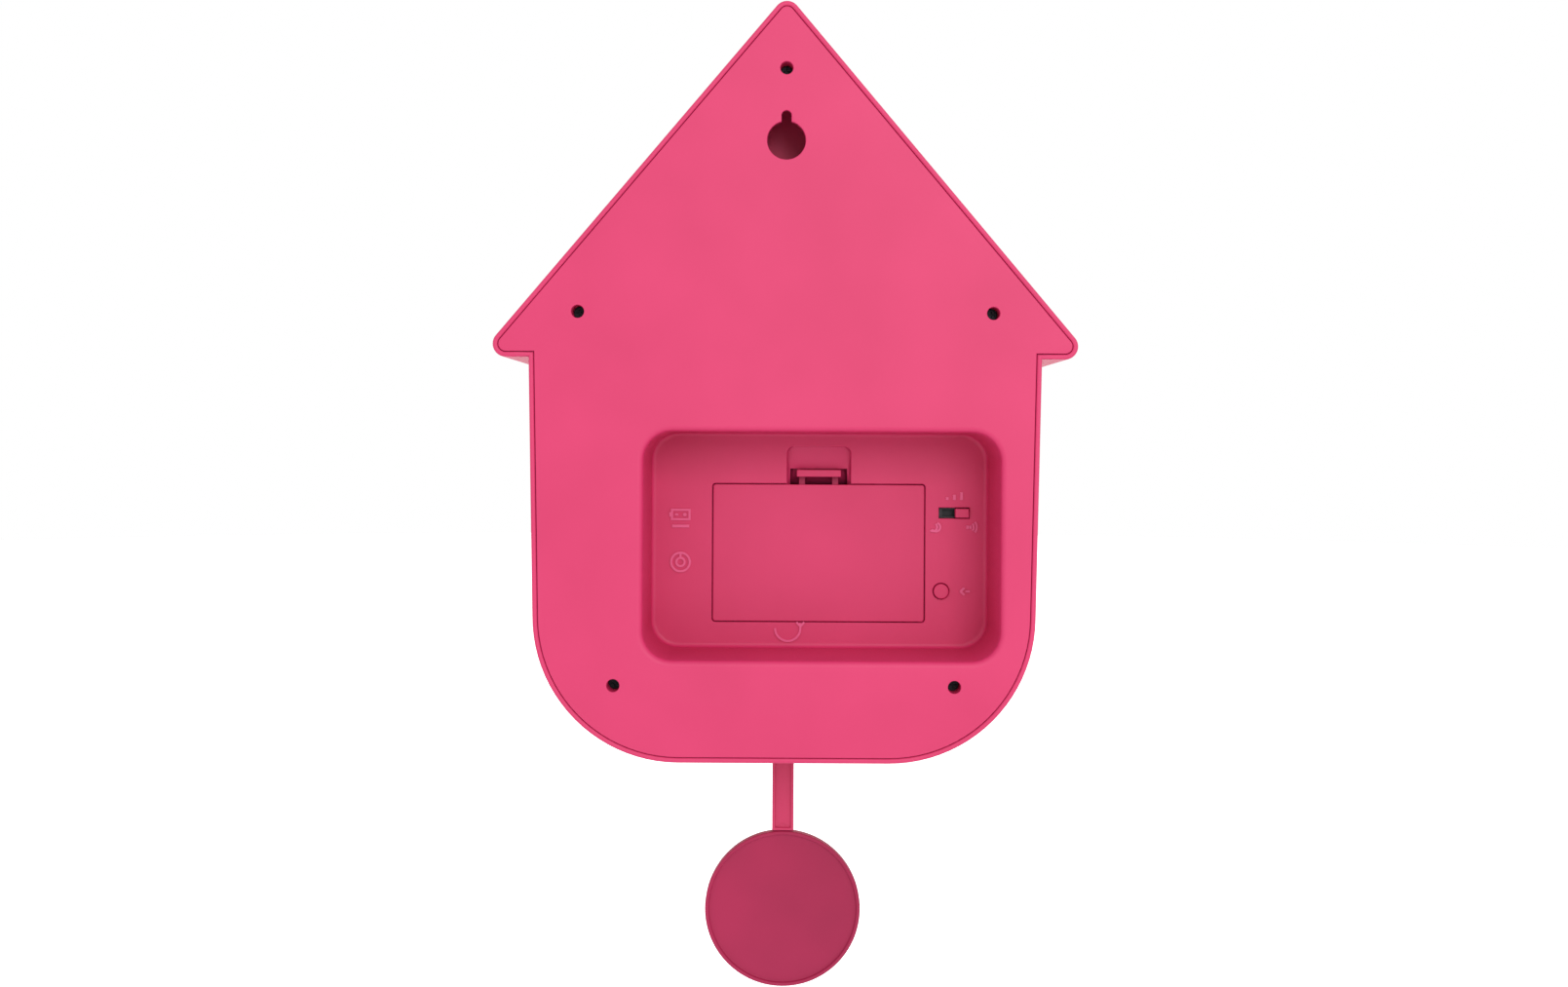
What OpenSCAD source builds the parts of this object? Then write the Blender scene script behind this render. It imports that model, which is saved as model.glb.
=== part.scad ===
// House-shaped cuckoo wall clock: front shell, back cover with a rear pocket, quartz movement,
// rack-driven bird behind double doors, and a hooked-on pendulum.
// Frame: origin at the hanging hole on the wall plane, +Z up, the dial faces -Y.

/* [Case] */
// Width over the eaves
case_width = 200; // [190:1:250]
// Height from the ridge to the bottom edge of the case
case_height = 260.5; // [255:0.5:320]
// Depth from the wall plane to the front face
case_depth = 78; // [64:1:96]
// Side wall thickness of the front shell
wall = 1.8; // [1.2:0.1:3]
// Thickness of the front face
front_wall = 2.5; // [1.5:0.1:4]
// Thickness of the back cover plate
cover_t = 2.5; // [2:0.1:4]
// Height of the ridge above the hanging hole
ridge_z = 47.7; // [40:0.1:60]
// Drop from the hanging hole to the underside of the eaves
eave_drop = 74.4; // [60:0.1:90]
// Radius at the ridge and at the eave tips
roof_r = 4.5; // [4:0.1:8]
// Overhang of each eave past the body
eave_out = 12.2; // [6:0.1:20]
// Narrowing of each side of the body down to the lower corners
body_taper = 1.8; // [0:0.1:5]
// Radius of the two lower corners
corner_r = 50; // [20:1:56]

/* [Rear pocket] */
// Width of the pocket opening between its rim fillets
pocket_w = 122.4; // [115:0.1:135]
// Height of the pocket opening
pocket_h = 78.4; // [72:0.1:90]
// Pocket centre, sideways from the hanging hole
pocket_x = -12.8; // [-16:0.1:-8]
// Pocket centre, down from the hanging hole
pocket_drop = 138.7; // [130:0.1:150]
// Corner radius of the pocket
pocket_r = 10; // [4:0.5:15]
// Wall and floor thickness of the pocket
pocket_t = 1.8; // [1.2:0.1:3]

/* [Battery compartment] */
// Width of the battery cover
door_w = 77; // [76:0.1:80]
// Height of the battery cover
door_h = 49.9; // [49:0.1:54]
// Battery cover centre, sideways
door_x = -12.5; // [-14:0.1:-10]
// Thickness of the battery cover
door_t = 2; // [1.2:0.1:3]
// Diameter of one cell
cell_d = 14.2; // [13.5:0.1:14.5]
// Length of one cell with its button
cell_len = 50.2; // [49:0.1:50.5]
// Inner depth of the battery well below the cover
well_depth = 16.5; // [15.5:0.1:20]

/* [Latch and controls] */
// Width of the finger recess above the battery cover
latch_w = 23.2; // [18:0.1:30]
// Height of the finger recess
latch_h = 13.9; // [12:0.1:16]
// Width of the sprung latch bar
bar_w = 16.2; // [10:0.1:20]
// Width of the slide switch slot
slot_w = 11.2; // [9:0.1:14]
// Height of the slide switch slot
slot_h = 3.9; // [3:0.1:6]
// Diameter of the set button
button_d = 5.5; // [4:0.1:7]

/* [Hanging] */
// Diameter of the round entry of the keyhole
keyhole_d = 13.2; // [10:0.1:16]
// Width of the keyhole slot
keyslot_w = 3.4; // [3:0.1:6]
// Height of the keyhole slot's end above the entry centre
keyslot_z = 10.2; // [9:0.1:14]

/* [Dial and hands] */
// Dial diameter
dial_d = 112; // [90:1:120]
// Drop from the hanging hole to the dial centre
dial_drop = 143.4; // [138:0.1:150]
// Length of the minute hand
minute_len = 44; // [30:1:50]
// Length of the hour hand
hour_len = 29; // [18:1:36]
// Side of the square movement case
move_side = 56; // [54:0.5:60]

/* [Cuckoo] */
// Width of the doorway
gate_w = 28; // [26:0.5:32]
// Height of the doorway up to the crown of its arch
gate_h = 38; // [34:0.5:44]
// Drop from the hanging hole to the doorway sill
gate_drop = 56; // [52:0.5:60]
// Widest diameter of the bird
bird_d = 20; // [16:0.5:21]

/* [Pendulum] */
// Diameter of the pendulum disc
disc_d = 57; // [40:0.5:70]
// Width of the pendulum bar
bar_pend_w = 7.9; // [5:0.1:10]
// Drop from the case bottom to the disc centre
disc_drop = 61.7; // [45:0.1:90]
// Thickness of the pendulum disc
disc_t = 4; // [3:0.1:6]

/* [Speaker] */
// Diameter of the loudspeaker
speaker_d = 40; // [30:1:42]

/* [Fits] */
// Gap along the seam between shell and back cover
seam = 0.15; // [0.1:0.05:0.5]
// Gap around the battery cover
lid_gap = 0.35; // [0.2:0.05:0.6]
// Sliding clearance of guided pieces
slide_gap = 0.12; // [0.08:0.01:0.3]
// Radial running clearance of arbors
run_gap = 0.05; // [0.03:0.01:0.1]

/* [Hidden] */
$fn = 64;
EPS = 0.5;                               // overlap that fuses two solids of one moulding
PINK = "#E8558A";
PINK_DEEP = "#D24A7B";
CREAM = "#F6EFE2";
DARK = "#2B2B30";
STEEL = "#B9BDC2";
COPPER = "#B8723E";
GREEN = "#2E6E48";
YELLOW = "#F0B93A";
RED = "#C33A3A";
NYLON = "#EDEDE6";

bottom_z = ridge_z - case_height;
face_in = case_depth - front_wall;       // depth of the front wall's inner face
body_half = case_width/2 - eave_out;
low_half = body_half - body_taper;
corner_x = low_half - corner_r;
corner_z = bottom_z + corner_r;

// depth stack between the pocket floor and the front wall
bay_t = 2;                               // pocket floor thickness
well_t = 1.5;                            // battery well walls
move_t = 17;                             // movement case depth
move_pad = 1.5;                          // raised pad that meets the front wall
move_air = 1;                            // free gap behind the movement
move_front = face_in - move_pad;         // depth of the movement's front face
move_back = move_front - move_t;
well_floor = move_back - move_air - well_t;
lid_in = well_floor - well_depth;        // depth of the battery cover's inner face
pocket_depth = lid_in - bay_t;
lid_out = pocket_depth;

dial_z = -dial_drop;
pocket_z = -pocket_drop;
lid_z = dial_z;
lid_top = lid_z + door_h/2;
lid_bottom = lid_z - door_h/2;

// screws
screw_head_r = 2;
screw_r = 1.1;
screw_len = 16;
screw_hole_r = 2.2;
seat_depth = 8;                          // depth of the screw seats in the back cover
seat_t = 2;
boss_r = 4;
post_r = 3.5;
post_gap = 0.2;
screw_top = 24.7;
screw_eave = [case_width/2 - 29, -58.8];
screw_low = [low_half - 27.7, bottom_z + 26.3];
CASE_SCREWS = [[0, screw_top], screw_eave, [-screw_eave[0], screw_eave[1]],
               screw_low, [-screw_low[0], screw_low[1]]];

// small screws for inner parts
mini_r = 0.9;
mini_head_r = 1.8;
mini_head_t = 1.3;

// latch
latch_x = door_x;
latch_top = lid_top + latch_h;
latch_bar_top = lid_top + 5.4;           // upper edge of the latch bar
latch_bar_h = 2.6;
shelf_z = latch_bar_top + 0.4;           // edge of the shelf that the hook catches
latch_travel = 1.5;

// battery well
well_w = door_w + 2*lid_gap - 3;
well_h = door_h + 2*lid_gap - 3;
well_x0 = door_x - well_w/2;
well_x1 = door_x + well_w/2;
cell_pitch = 15.2;
cell_y = -(lid_in + well_floor)/2;
cell_zone = 56.8;                        // length from contact plate to contact plate
wall_x = well_x0 + cell_zone;            // divider between cells and set knob
plate_t = 0.4;

// controls
slot_x = pocket_x - 49.1;
slot_z = pocket_z + 10.1;
knob_w = 5;
knob_x = slot_x - slot_w/2 + 0.3 + knob_w/2;
button_x = slot_x + 4.7;
button_z = pocket_z - 18.4;
board_y = -(lid_in + 6);                 // face of the circuit board towards the wall
board_t = 1.6;
board_x0 = slot_x - 13.1;
board_x1 = well_x0 - well_t - 3.2;
board_z0 = pocket_z - 33;
board_z1 = pocket_z + 26;

// motion works and going train, all in one movement case
mesh_m = 0.7;
train_m = 0.25;
mesh_a = mesh_m*(10 + 30)/2 + 0.03;      // centre distance of both hand pairs
pressure = 25;
tooth_fill = 0.86;                       // share of half a pitch filled by a tooth
addendum = 0.8;
dedendum = 1.1;
move_wall = 1.2;
gear_air = 0.6;
third_at = [0, dial_z] + 8.78*[cos(150), sin(150)];
step_at = third_at + 8.78*[cos(240), sin(240)];
rotor_at = step_at + 9.03*[cos(200), sin(200)];
arbor_r = 1;
thin_arbor_r = 0.8;
pivot_r = 0.5;
hour_tube_r = 2.5;
bush_r = 4;
hour_plane = move_front - move_wall - 0.4;
minute_plane = hour_plane - 2.4;
mid_plate = minute_plane - 2;
centre_plane = mid_plate - 1.3;
third_plane = centre_plane - 2.6;
step_plane = third_plane - 2.6;

// cuckoo train
gate_z = -gate_drop;
gate_r = gate_w/2;
gate_crown = gate_z + gate_h - gate_r;   // centre of the doorway arch
travel = (case_depth - 26)/2;            // bird travel
rack_m = 0.8;
drive_m = 0.5;
motor_m = 0.4;
pinion_y = -(face_in - 30.5);
track_z = gate_z + 0.8;                  // underside of the carriage plate
rack_z = track_z - 1.8;                  // rack pitch line
drive_z = rack_z - rack_m*12/2 - 0.05;
first_at = [pinion_y + 12.55*cos(38), drive_z - 12.55*sin(38)];
motor_at = first_at + 10.05*[cos(10), -sin(10)];
base_z = track_z - 5;                    // underside of the chassis base
base_t = 1.8;
deck_z = base_z + base_t;
rail_in = 7;
rail_out = 9.6;
chassis_front = face_in - 3.3;
chassis_rear = -(pinion_y + travel + 7);
chassis_low = base_z - 24;
hinge_x = gate_r + 0.6;
hinge_y = -(case_depth + 1.5);
leaf_t = 1.4;
leaf_gap = 0.38;                        // half of the gap between the closed leaves
leaf_y = -(case_depth + 0.3);            // outer face of a closed leaf
pin_r = 0.6;
knuckle_r = 1.3;

// bird
bird_y = -(face_in - 21.5);
bird_z = gate_z + 15;
body_arc = 17;                           // radius of the body's outline arc
head_r = 7.2;
post_top = bird_z - bird_d/2 + 2.5;

// pendulum
pend_y = -42;
pivot_z = bottom_z + 21.8;
disc_z = bottom_z - disc_drop;
rod_top = bottom_z + 8.4;
hook_z = bottom_z + 6;
rod_t = 3;

// speaker
speaker_at = [-46, -50];
sensor_z = gate_z - 17;

// ---------------------------------------------------------------- helpers

// extrude an (x, z) outline between two depths behind the wall plane
module slab(back, front) {
    translate([0, -back, 0]) rotate([90, 0, 0]) linear_extrude(front - back) children();
}

// extrude a (y, z) outline between two x positions
module slab_x(x0, x1) {
    translate([x0, 0, 0]) rotate([90, 0, 90]) linear_extrude(x1 - x0) children();
}

module rod_y(x, z, back, front, r) {
    translate([x, -back, z]) rotate([90, 0, 0]) cylinder(h = front - back, r = r);
}

module rod_x(y, z, x0, x1, r) {
    translate([x0, y, z]) rotate([0, 90, 0]) cylinder(h = x1 - x0, r = r);
}

module box(x0, x1, y0, y1, z0, z1) {
    translate([x0, y0, z0]) cube([x1 - x0, y1 - y0, z1 - z0]);
}

module rounded_rect(w, h, r) {
    square([w - 2*r, h], center = true);
    square([w, h - 2*r], center = true);
    for (sx = [-1, 1]) for (sz = [-1, 1]) translate([sx*(w/2 - r), sz*(h/2 - r)]) circle(r);
}

module stadium(r, length) {
    circle(r);
    translate([-r, 0]) square([2*r, length]);
    translate([0, length]) circle(r);
}

module ring(r_out, r_in) {
    difference() {
        circle(r_out);
        circle(r_in);
    }
}

module torus(big, small) {
    rotate_extrude() translate([big, 0]) circle(small);
}

function involute(a) = tan(a)*180/PI - a;
function flank(r, base) = r <= base ? 0 : involute(acos(base/r));
function half_tooth(r, pitch, n) =
    90/n*tooth_fill + involute(pressure) - flank(r, pitch*cos(pressure));
function gear_points(m, n, phase) =
    let(p = m*n/2, radii = [p - dedendum*m, p, p + addendum*m])
    [for (i = [0:n - 1]) for (s = [[-1, 0], [-1, 1], [-1, 2], [1, 2], [1, 1], [1, 0]])
        let(r = radii[s[1]], a = phase + i*360/n + s[0]*half_tooth(r, p, n))
        [r*cos(a), r*sin(a)]];
// phase that lets gear b sit between the teeth of gear a seen in direction dir
function meshed(phase_a, dir, na, nb) = dir + 180 + 180/nb - (phase_a - dir)*na/nb;

module gear_2d(m, n, phase, hole) {
    difference() {
        polygon(gear_points(m, n, phase));
        if (hole > 0) circle(hole);
    }
}

// gear on a Y arbor
module gear_y(at, m, n, phase, hole, back, front) {
    slab(back, front) translate(at) gear_2d(m, n, phase, hole);
}

// gear on an X arbor, placed by [y, z]
module gear_x(at, m, n, phase, hole, x0, x1) {
    slab_x(x0, x1) translate(at) gear_2d(m, n, phase, hole);
}

// house outline, moved inwards by d
module house_2d(d) {
    r = roof_r - d;
    az = ridge_z - roof_r;
    ex = case_width/2 - roof_r;
    ez = -eave_drop + roof_r;
    n = r*[az - ez, ex]/norm([ex, az - ez]);
    polygon([[n[0], az + n[1]], [ex + n[0], ez + n[1]], [ex, ez - r], [-ex, ez - r],
             [-ex - n[0], ez + n[1]], [-n[0], az + n[1]]]);
    translate([0, az]) circle(r);
    for (s = [-1, 1]) translate([s*ex, ez]) circle(r);
    polygon([[-body_half + d, ez], [body_half - d, ez],
             [low_half - d, corner_z], [-low_half + d, corner_z]]);
    translate([-corner_x, bottom_z + d]) square([2*corner_x, corner_r - d + 1]);
    for (s = [-1, 1]) translate([s*corner_x, corner_z]) circle(corner_r - d);
}

module gate_2d(d) {
    translate([0, gate_crown]) circle(gate_r - d);
    translate([-gate_r + d, gate_z + d]) square([gate_w - 2*d, gate_crown - gate_z - d]);
}

// ---------------------------------------------------------------- case

SPEAKER_SCREWS = [for (a = [45:90:315]) speaker_at + (speaker_d/2 - 0.4)*[cos(a), sin(a)]];
CHASSIS_SCREWS = [for (sx = [-1, 1]) for (dz = [-4, -20]) [sx*20, base_z + dz]];
BRACKET_SCREWS = [[-13, pivot_z + 2], [13, pivot_z + 2]];
bracket_depth = -pend_y + 12;
inner_boss_r = 3;

module front_shell() {
    color(PINK) difference() {
        union() {
            difference() {
                slab(0, case_depth) house_2d(0);
                slab(-1, face_in) house_2d(wall);
            }
            for (p = CASE_SCREWS)
                rod_y(p[0], p[1], seat_depth + seat_t + post_gap, face_in + EPS, post_r);
            for (p = CHASSIS_SCREWS) rod_y(p[0], p[1], chassis_front, face_in + EPS, inner_boss_r);
            for (p = BRACKET_SCREWS)
                rod_y(p[0], p[1], bracket_depth, face_in + EPS, inner_boss_r);
            for (p = SPEAKER_SCREWS)
                rod_y(p[0], p[1], face_in - 1.5, face_in + EPS, 1.8);
        }
        for (p = CASE_SCREWS)
            rod_y(p[0], p[1], seat_depth, seat_depth + screw_len + 2, screw_r + 0.02);
        for (p = CHASSIS_SCREWS) rod_y(p[0], p[1], chassis_front - 1, face_in + 1, mini_r + 0.02);
        for (p = BRACKET_SCREWS)
            rod_y(p[0], p[1], bracket_depth - 1, bracket_depth + 9, mini_r + 0.02);
        for (p = SPEAKER_SCREWS) rod_y(p[0], p[1], face_in - 2, face_in + 1.2, mini_r*0.7);
        slab(face_in - 1, case_depth + 1) gate_2d(0);
        rod_y(0, dial_z, face_in - 1, case_depth + 1, bush_r + 0.15);
        rod_y(0, sensor_z, face_in - 1, case_depth + 1, 2.05);
        sound_holes();
        slot_half = bar_pend_w/2 + 5;
        box(-slot_half, slot_half, pend_y - 3.5, pend_y + 3.5, bottom_z - 1, bottom_z + wall + 1);
    }
}

module sound_holes() {
    hole_r = 1;
    for (k = [0:2]) for (i = [0:max(0, 6*k - 1)]) {
        a = k == 0 ? 0 : i*60/k;
        rod_y(speaker_at[0] + 5*k*cos(a), speaker_at[1] + 5*k*sin(a),
              face_in - 1, case_depth + 1, hole_r);
    }
}

module pocket_2d(d) {
    translate([pocket_x, pocket_z])
        rounded_rect(pocket_w + 2*d, pocket_h + 2*d, pocket_r + d);
}

module keyhole_2d() {
    circle(keyhole_d/2);
    translate([-keyslot_w/2, 0]) square([keyslot_w, keyslot_z - keyslot_w/2]);
    translate([0, keyslot_z - keyslot_w/2]) circle(keyslot_w/2);
}

cup_depth = 24;
cup_r = keyhole_d/2 + 0.5;
tab_w = 8;
TABS = [door_x - 27, door_x + 27];
deep_half = bar_w/2 + 2.3;
recess_floor = lid_out + 7;
BOARD_SCREWS = [[board_x0 + 3.5, board_z1 - 3.5], [board_x1 - 3.5, board_z0 + 3.5]];
knob_at_x = mesh_a;

module back_cover() {
    color(PINK) difference() {
        union() {
            slab(0, cover_t) house_2d(wall + seam);
            slab(cover_t - EPS, lid_out + bay_t) pocket_2d(pocket_t);
            slab(lid_out + EPS, well_floor + well_t) translate([door_x, lid_z])
                square([well_w + 2*well_t, well_h + 2*well_t], center = true);
            slab(lid_out + EPS, recess_floor + well_t)
                translate([latch_x - latch_w/2 - well_t, lid_top - 3])
                    square([latch_w + 2*well_t, latch_h + 3 + well_t]);
            slab(cover_t - EPS, cup_depth + well_t)
                stadium(cup_r + well_t, keyslot_z - keyslot_w/2);
            for (p = CASE_SCREWS) rod_y(p[0], p[1], cover_t - EPS, seat_depth + seat_t, boss_r);
            for (p = BOARD_SCREWS) rod_y(p[0], p[1], lid_in - EPS, -board_y, 2.5);
        }
        slab(-1, lid_out) pocket_2d(0);
        slab(-1, cover_t + EPS) keyhole_2d();
        slab(cover_t, cup_depth) stadium(cup_r, keyslot_z - keyslot_w/2);
        for (p = CASE_SCREWS) {
            rod_y(p[0], p[1], -1, seat_depth, screw_hole_r);
            rod_y(p[0], p[1], seat_depth - 1, seat_depth + seat_t + 1, screw_r + 0.1);
        }
        for (p = BOARD_SCREWS) rod_y(p[0], p[1], lid_in + 1, -board_y + 1, mini_r + 0.02);
        // battery cover opening and well, kept apart by the divider
        slab(lid_out - 1, lid_in + 0.01) translate([door_x, lid_z])
            rounded_rect(door_w + 2*lid_gap, door_h + 2*lid_gap, 1.2);
        slab(lid_in, well_floor) {
            translate([well_x0, lid_z - well_h/2]) square([cell_zone, well_h]);
            translate([wall_x + 1.2, lid_z - well_h/2])
                square([well_x1 - wall_x - 1.2, well_h]);
        }
        rod_y(knob_at_x, dial_z, well_floor - 1, well_floor + well_t + 1, 2.6);
        for (x = TABS)
            box(x - tab_w/2 - 0.4, x + tab_w/2 + 0.4, -lid_in - 4.5, -lid_in,
                lid_bottom - 4.5, lid_bottom + 2.6);
        // finger recess, deep slot for the latch, space for its hook
        slab(lid_out - 1, lid_out + 2.6) translate([latch_x, (latch_top + shelf_z)/2 - 0.5])
            rounded_rect(latch_w, latch_top - shelf_z + 1, 2.5);
        box(latch_x - latch_w/2, latch_x + latch_w/2, -lid_out - 2.6, 1 - lid_out,
            lid_top, shelf_z + 1);
        box(latch_x - deep_half, latch_x + deep_half, -recess_floor, 1 - lid_out,
            lid_top - 2.5, shelf_z);
        box(latch_x - bar_w/2 - 0.6, latch_x + bar_w/2 + 0.6, -recess_floor, -lid_out - 3.8,
            shelf_z - 1, shelf_z + 2.2);
        // slide switch slot and set button hole
        slab(lid_out - 1, lid_in + 1) translate([slot_x, slot_z]) square([slot_w, slot_h], center = true);
        rod_y(button_x, button_z, lid_out - 1, lid_in + 1, button_d/2 + 0.2);
        // lead holes of the battery well
        for (z = LEAD_Z) rod_x(-well_floor + 1.1, z, well_x0 - 2, well_x0 + 1, 0.8);
    }
}
LEAD_Z = [lid_z + well_h/2 - 1.1, lid_z - well_h/2 + 1.1];

module case_screws() {
    color(STEEL) for (p = CASE_SCREWS) difference() {
        union() {
            rod_y(p[0], p[1], seat_depth - 1.6, seat_depth, screw_head_r);
            rod_y(p[0], p[1], seat_depth - 0.2, seat_depth + screw_len, screw_r);
        }
        for (a = [0, 90]) translate([p[0], 0, p[1]]) rotate([0, a, 0])
            box(-1.2, 1.2, -seat_depth + 0.8, -seat_depth + 2, -0.25, 0.25);
    }
}

// ---------------------------------------------------------------- front trim

dial_t = 1;

module dial() {
    color(CREAM) difference() {
        union() {
            rod_y(0, dial_z, case_depth, case_depth + dial_t, dial_d/2);
            for (a = [0:30:330]) translate([0, 0, dial_z]) rotate([0, a, 0])
                box(-0.7, 0.7, -case_depth - dial_t - 0.4, -case_depth - dial_t + 0.2,
                    dial_d/2 - 12, dial_d/2 - 6);
        }
        rod_y(0, dial_z, case_depth - 1, case_depth + dial_t + 1, bush_r + 0.15);
    }
}

module dial_bezel() {
    color(PINK_DEEP) difference() {
        slab(case_depth, case_depth + 4) translate([0, dial_z]) ring(dial_d/2 + 3.5, dial_d/2 - 2);
        rod_y(0, dial_z, case_depth - 1, case_depth + dial_t + 0.05, dial_d/2 + 0.1);
    }
}

frame_t = 2.6;
LUGS = [gate_z + 0.5, gate_crown - 0.5];
lug_h = 2.2;

module door_frame() {
    color(PINK_DEEP) {
        slab(case_depth, case_depth + frame_t) difference() {
            gate_2d(-6.5);
            translate([0, gate_crown]) circle(gate_r + 2.6);
            translate([-gate_r - 2.6, gate_z - 0.3])
                square([gate_w + 5.2, gate_crown - gate_z + 0.3]);
        }
        for (s = [-1, 1]) for (z = LUGS) difference() {
            box(s*hinge_x - (s > 0 ? 0.85 : 2.4), s*hinge_x + (s > 0 ? 2.4 : 0.85),
                -case_depth - frame_t, -case_depth - 0.05, z, z + lug_h);
            translate([s*hinge_x, hinge_y, z - 1]) cylinder(h = lug_h + 2, r = pin_r + 0.01);
        }
    }
}

module door_pins() {
    color(STEEL) for (s = [-1, 1]) translate([s*hinge_x, hinge_y, LUGS[0] + 0.2])
        cylinder(h = LUGS[1] - LUGS[0] + lug_h - 0.4, r = pin_r);
}

module sensor_lens() {
    color(DARK) {
        rod_y(0, sensor_z, face_in, case_depth + 0.4, 2);
        rod_y(0, sensor_z, case_depth, case_depth + 0.8, 2.8);
    }
}

module light_sensor() {
    color(DARK) difference() {
        rod_y(0, sensor_z, face_in - 2.8, face_in - 0.1, 1.6);
        rod_y(0, sensor_z, face_in - 0.6, face_in, 1.1);
    }
}

// ---------------------------------------------------------------- power and controls

CELL_Z = [for (k = [1, 0, -1]) lid_z + k*cell_pitch];
spring_h = cell_zone - 2*plate_t - cell_len - 0.1;
nub_len = 1.5;

// one cell, button towards +X when s is 1
module cell(z, s) {
    xa = well_x0 + plate_t + (s > 0 ? spring_h : 0.1);
    xb = xa + cell_len;
    rod_x(cell_y, z, s > 0 ? xa : xa + nub_len, s > 0 ? xb - nub_len : xb, cell_d/2);
    rod_x(cell_y, z, s > 0 ? xb - nub_len - EPS : xa, s > 0 ? xb : xa + nub_len + EPS, 2.6);
}

module battery_cells() {
    color(DARK) for (k = [0:2]) cell(CELL_Z[k], k == 1 ? -1 : 1);
}

module battery_springs() {
    turns = 7;
    wire_r = 0.45;
    pitch = (spring_h - 0.1 - 2*wire_r)/(turns - 1);
    color(STEEL) for (k = [0:2]) {
        s = k == 1 ? -1 : 1;
        x0 = s > 0 ? well_x0 + plate_t : wall_x - plate_t;
        for (i = [0:turns - 1])
            translate([x0 + s*(0.02 + wire_r + i*pitch), cell_y, CELL_Z[k]]) rotate([0, 90, 0])
                torus(4.6 - i*0.25, wire_r);
    }
}

module battery_plates() {
    half = cell_pitch + 5.5;
    color(STEEL) for (x = [well_x0, wall_x - plate_t])
        box(x, x + plate_t, -well_floor + 1.6, -lid_in - 1.6, lid_z - half, lid_z + half);
}

module circuit_board() {
    color(GREEN) difference() {
        box(board_x0, board_x1, board_y - board_t, board_y, board_z0, board_z1);
        for (p = BOARD_SCREWS) rod_y(p[0], p[1], -board_y - 1, -board_y + board_t + 1, mini_r + 0.1);
    }
}

module board_parts() {
    x = (board_x0 + board_x1)/2;
    color(DARK) {
        rod_y(x, pocket_z + 2, -board_y + board_t, -board_y + board_t + 1.2, 4.5);
        rod_y(x + 2, pocket_z - 12, -board_y + board_t, -board_y + board_t + 7, 3);
        box(x - 3, x + 3, board_y - board_t - 1.4, board_y - board_t, pocket_z - 27, pocket_z - 21);
    }
}

module slide_switch() {
    color(STEEL) difference() {
        box(slot_x - 6.2, slot_x + 6.2, board_y, -lid_in - 0.4, slot_z - 3, slot_z + 3);
        box(knob_x - 1.4, knob_x + slot_w - knob_w + 0.8, -lid_in - 3.4, 1 - lid_in,
            slot_z - 1.3, slot_z + 1.3);
    }
}

module mode_slider() {
    color(PINK) {
        box(knob_x - knob_w/2, knob_x + knob_w/2, -lid_in + 0.2, -lid_out + 1.4,
            slot_z - slot_h/2 + 0.3, slot_z + slot_h/2 - 0.3);
        box(knob_x - 1, knob_x + 1, -lid_in - 3, -lid_in + 0.3, slot_z - 1, slot_z + 1);
    }
}

module tact_switch() {
    color(DARK) difference() {
        box(button_x - 3, button_x + 3, board_y, board_y + 2.6, button_z - 3, button_z + 3);
        rod_y(button_x, button_z, -board_y - 3, -board_y - 1, 1.6);
    }
}

module set_button() {
    color(PINK) {
        rod_y(button_x, button_z, lid_out - 1.2, lid_in + 1, button_d/2);
        rod_y(button_x, button_z, lid_in + 0.15, lid_in + 1.4, button_d/2 + 1.2);
        rod_y(button_x, button_z, lid_in + 1, -board_y - 2.1, 1.4);
    }
}

// ---------------------------------------------------------------- battery cover

module battery_cover() {
    rib_z = lid_top - 2.2;
    color(PINK) {
        slab(lid_out, lid_in) translate([door_x, lid_z]) rounded_rect(door_w, door_h, 1);
        // two tabs hook under the lower edge of the opening
        for (x = TABS) {
            box(x - tab_w/2, x + tab_w/2, -lid_in - 1.5, -lid_in + 0.1, lid_bottom + 1, lid_bottom + 2.2);
            box(x - tab_w/2, x + tab_w/2, -lid_in - 1.5, -lid_in - 0.3, lid_bottom - 3, lid_bottom + 2.2);
        }
        // two leaves of the latch spring fold back below the latch bar
        for (s = [-1, 1]) {
            x = latch_x + s*(bar_w/2 - 2);
            box(x - 1.2, x + 1.2, -lid_in - 4.4, -lid_in + 0.1, rib_z, rib_z + 1);
            box(x - 1.2, x + 1.2, -lid_in - 4.4, -lid_in - 3.6, rib_z, latch_bar_top - 1);
        }
    }
}

module cover_latch() {
    color(PINK) {
        box(latch_x - bar_w/2, latch_x + bar_w/2, -lid_in - 0.3, -lid_out - 0.2,
            latch_bar_top - latch_bar_h, latch_bar_top);
        box(latch_x - bar_w/2, latch_x + bar_w/2, -lid_in - 3.2, -lid_in,
            latch_bar_top - latch_bar_h, latch_bar_top - latch_bar_h + 1.2);
        box(latch_x - bar_w/2, latch_x + bar_w/2, -lid_in - 3.2, -lid_in - 2.2,
            latch_bar_top - latch_bar_h, shelf_z + 1);
    }
}

// ---------------------------------------------------------------- speaker and leads

module speaker_basket() {
    color(STEEL) difference() {
        union() {
            rod_y(speaker_at[0], speaker_at[1], face_in - 2.5, face_in - 1.5, speaker_d/2 + 1);
            rod_y(speaker_at[0], speaker_at[1], face_in - 10, face_in - 2, speaker_d/2 - 4);
        }
        rod_y(speaker_at[0], speaker_at[1], face_in - 9, face_in, speaker_d/2 - 5);
        for (p = SPEAKER_SCREWS) rod_y(p[0], p[1], face_in - 4, face_in, mini_r*0.7 + 0.1);
    }
}

module speaker_cone() {
    h = 5;
    color(DARK) translate([speaker_at[0], -face_in + 2.6, speaker_at[1]]) rotate([-90, 0, 0])
        rotate_extrude() polygon([[0, h], [4, h], [speaker_d/2 - 5.2, 0.6], [speaker_d/2 - 5.2, 0],
                                  [speaker_d/2 - 6, 0], [3.6, h - 0.8], [0, h - 0.8]]);
}

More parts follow.
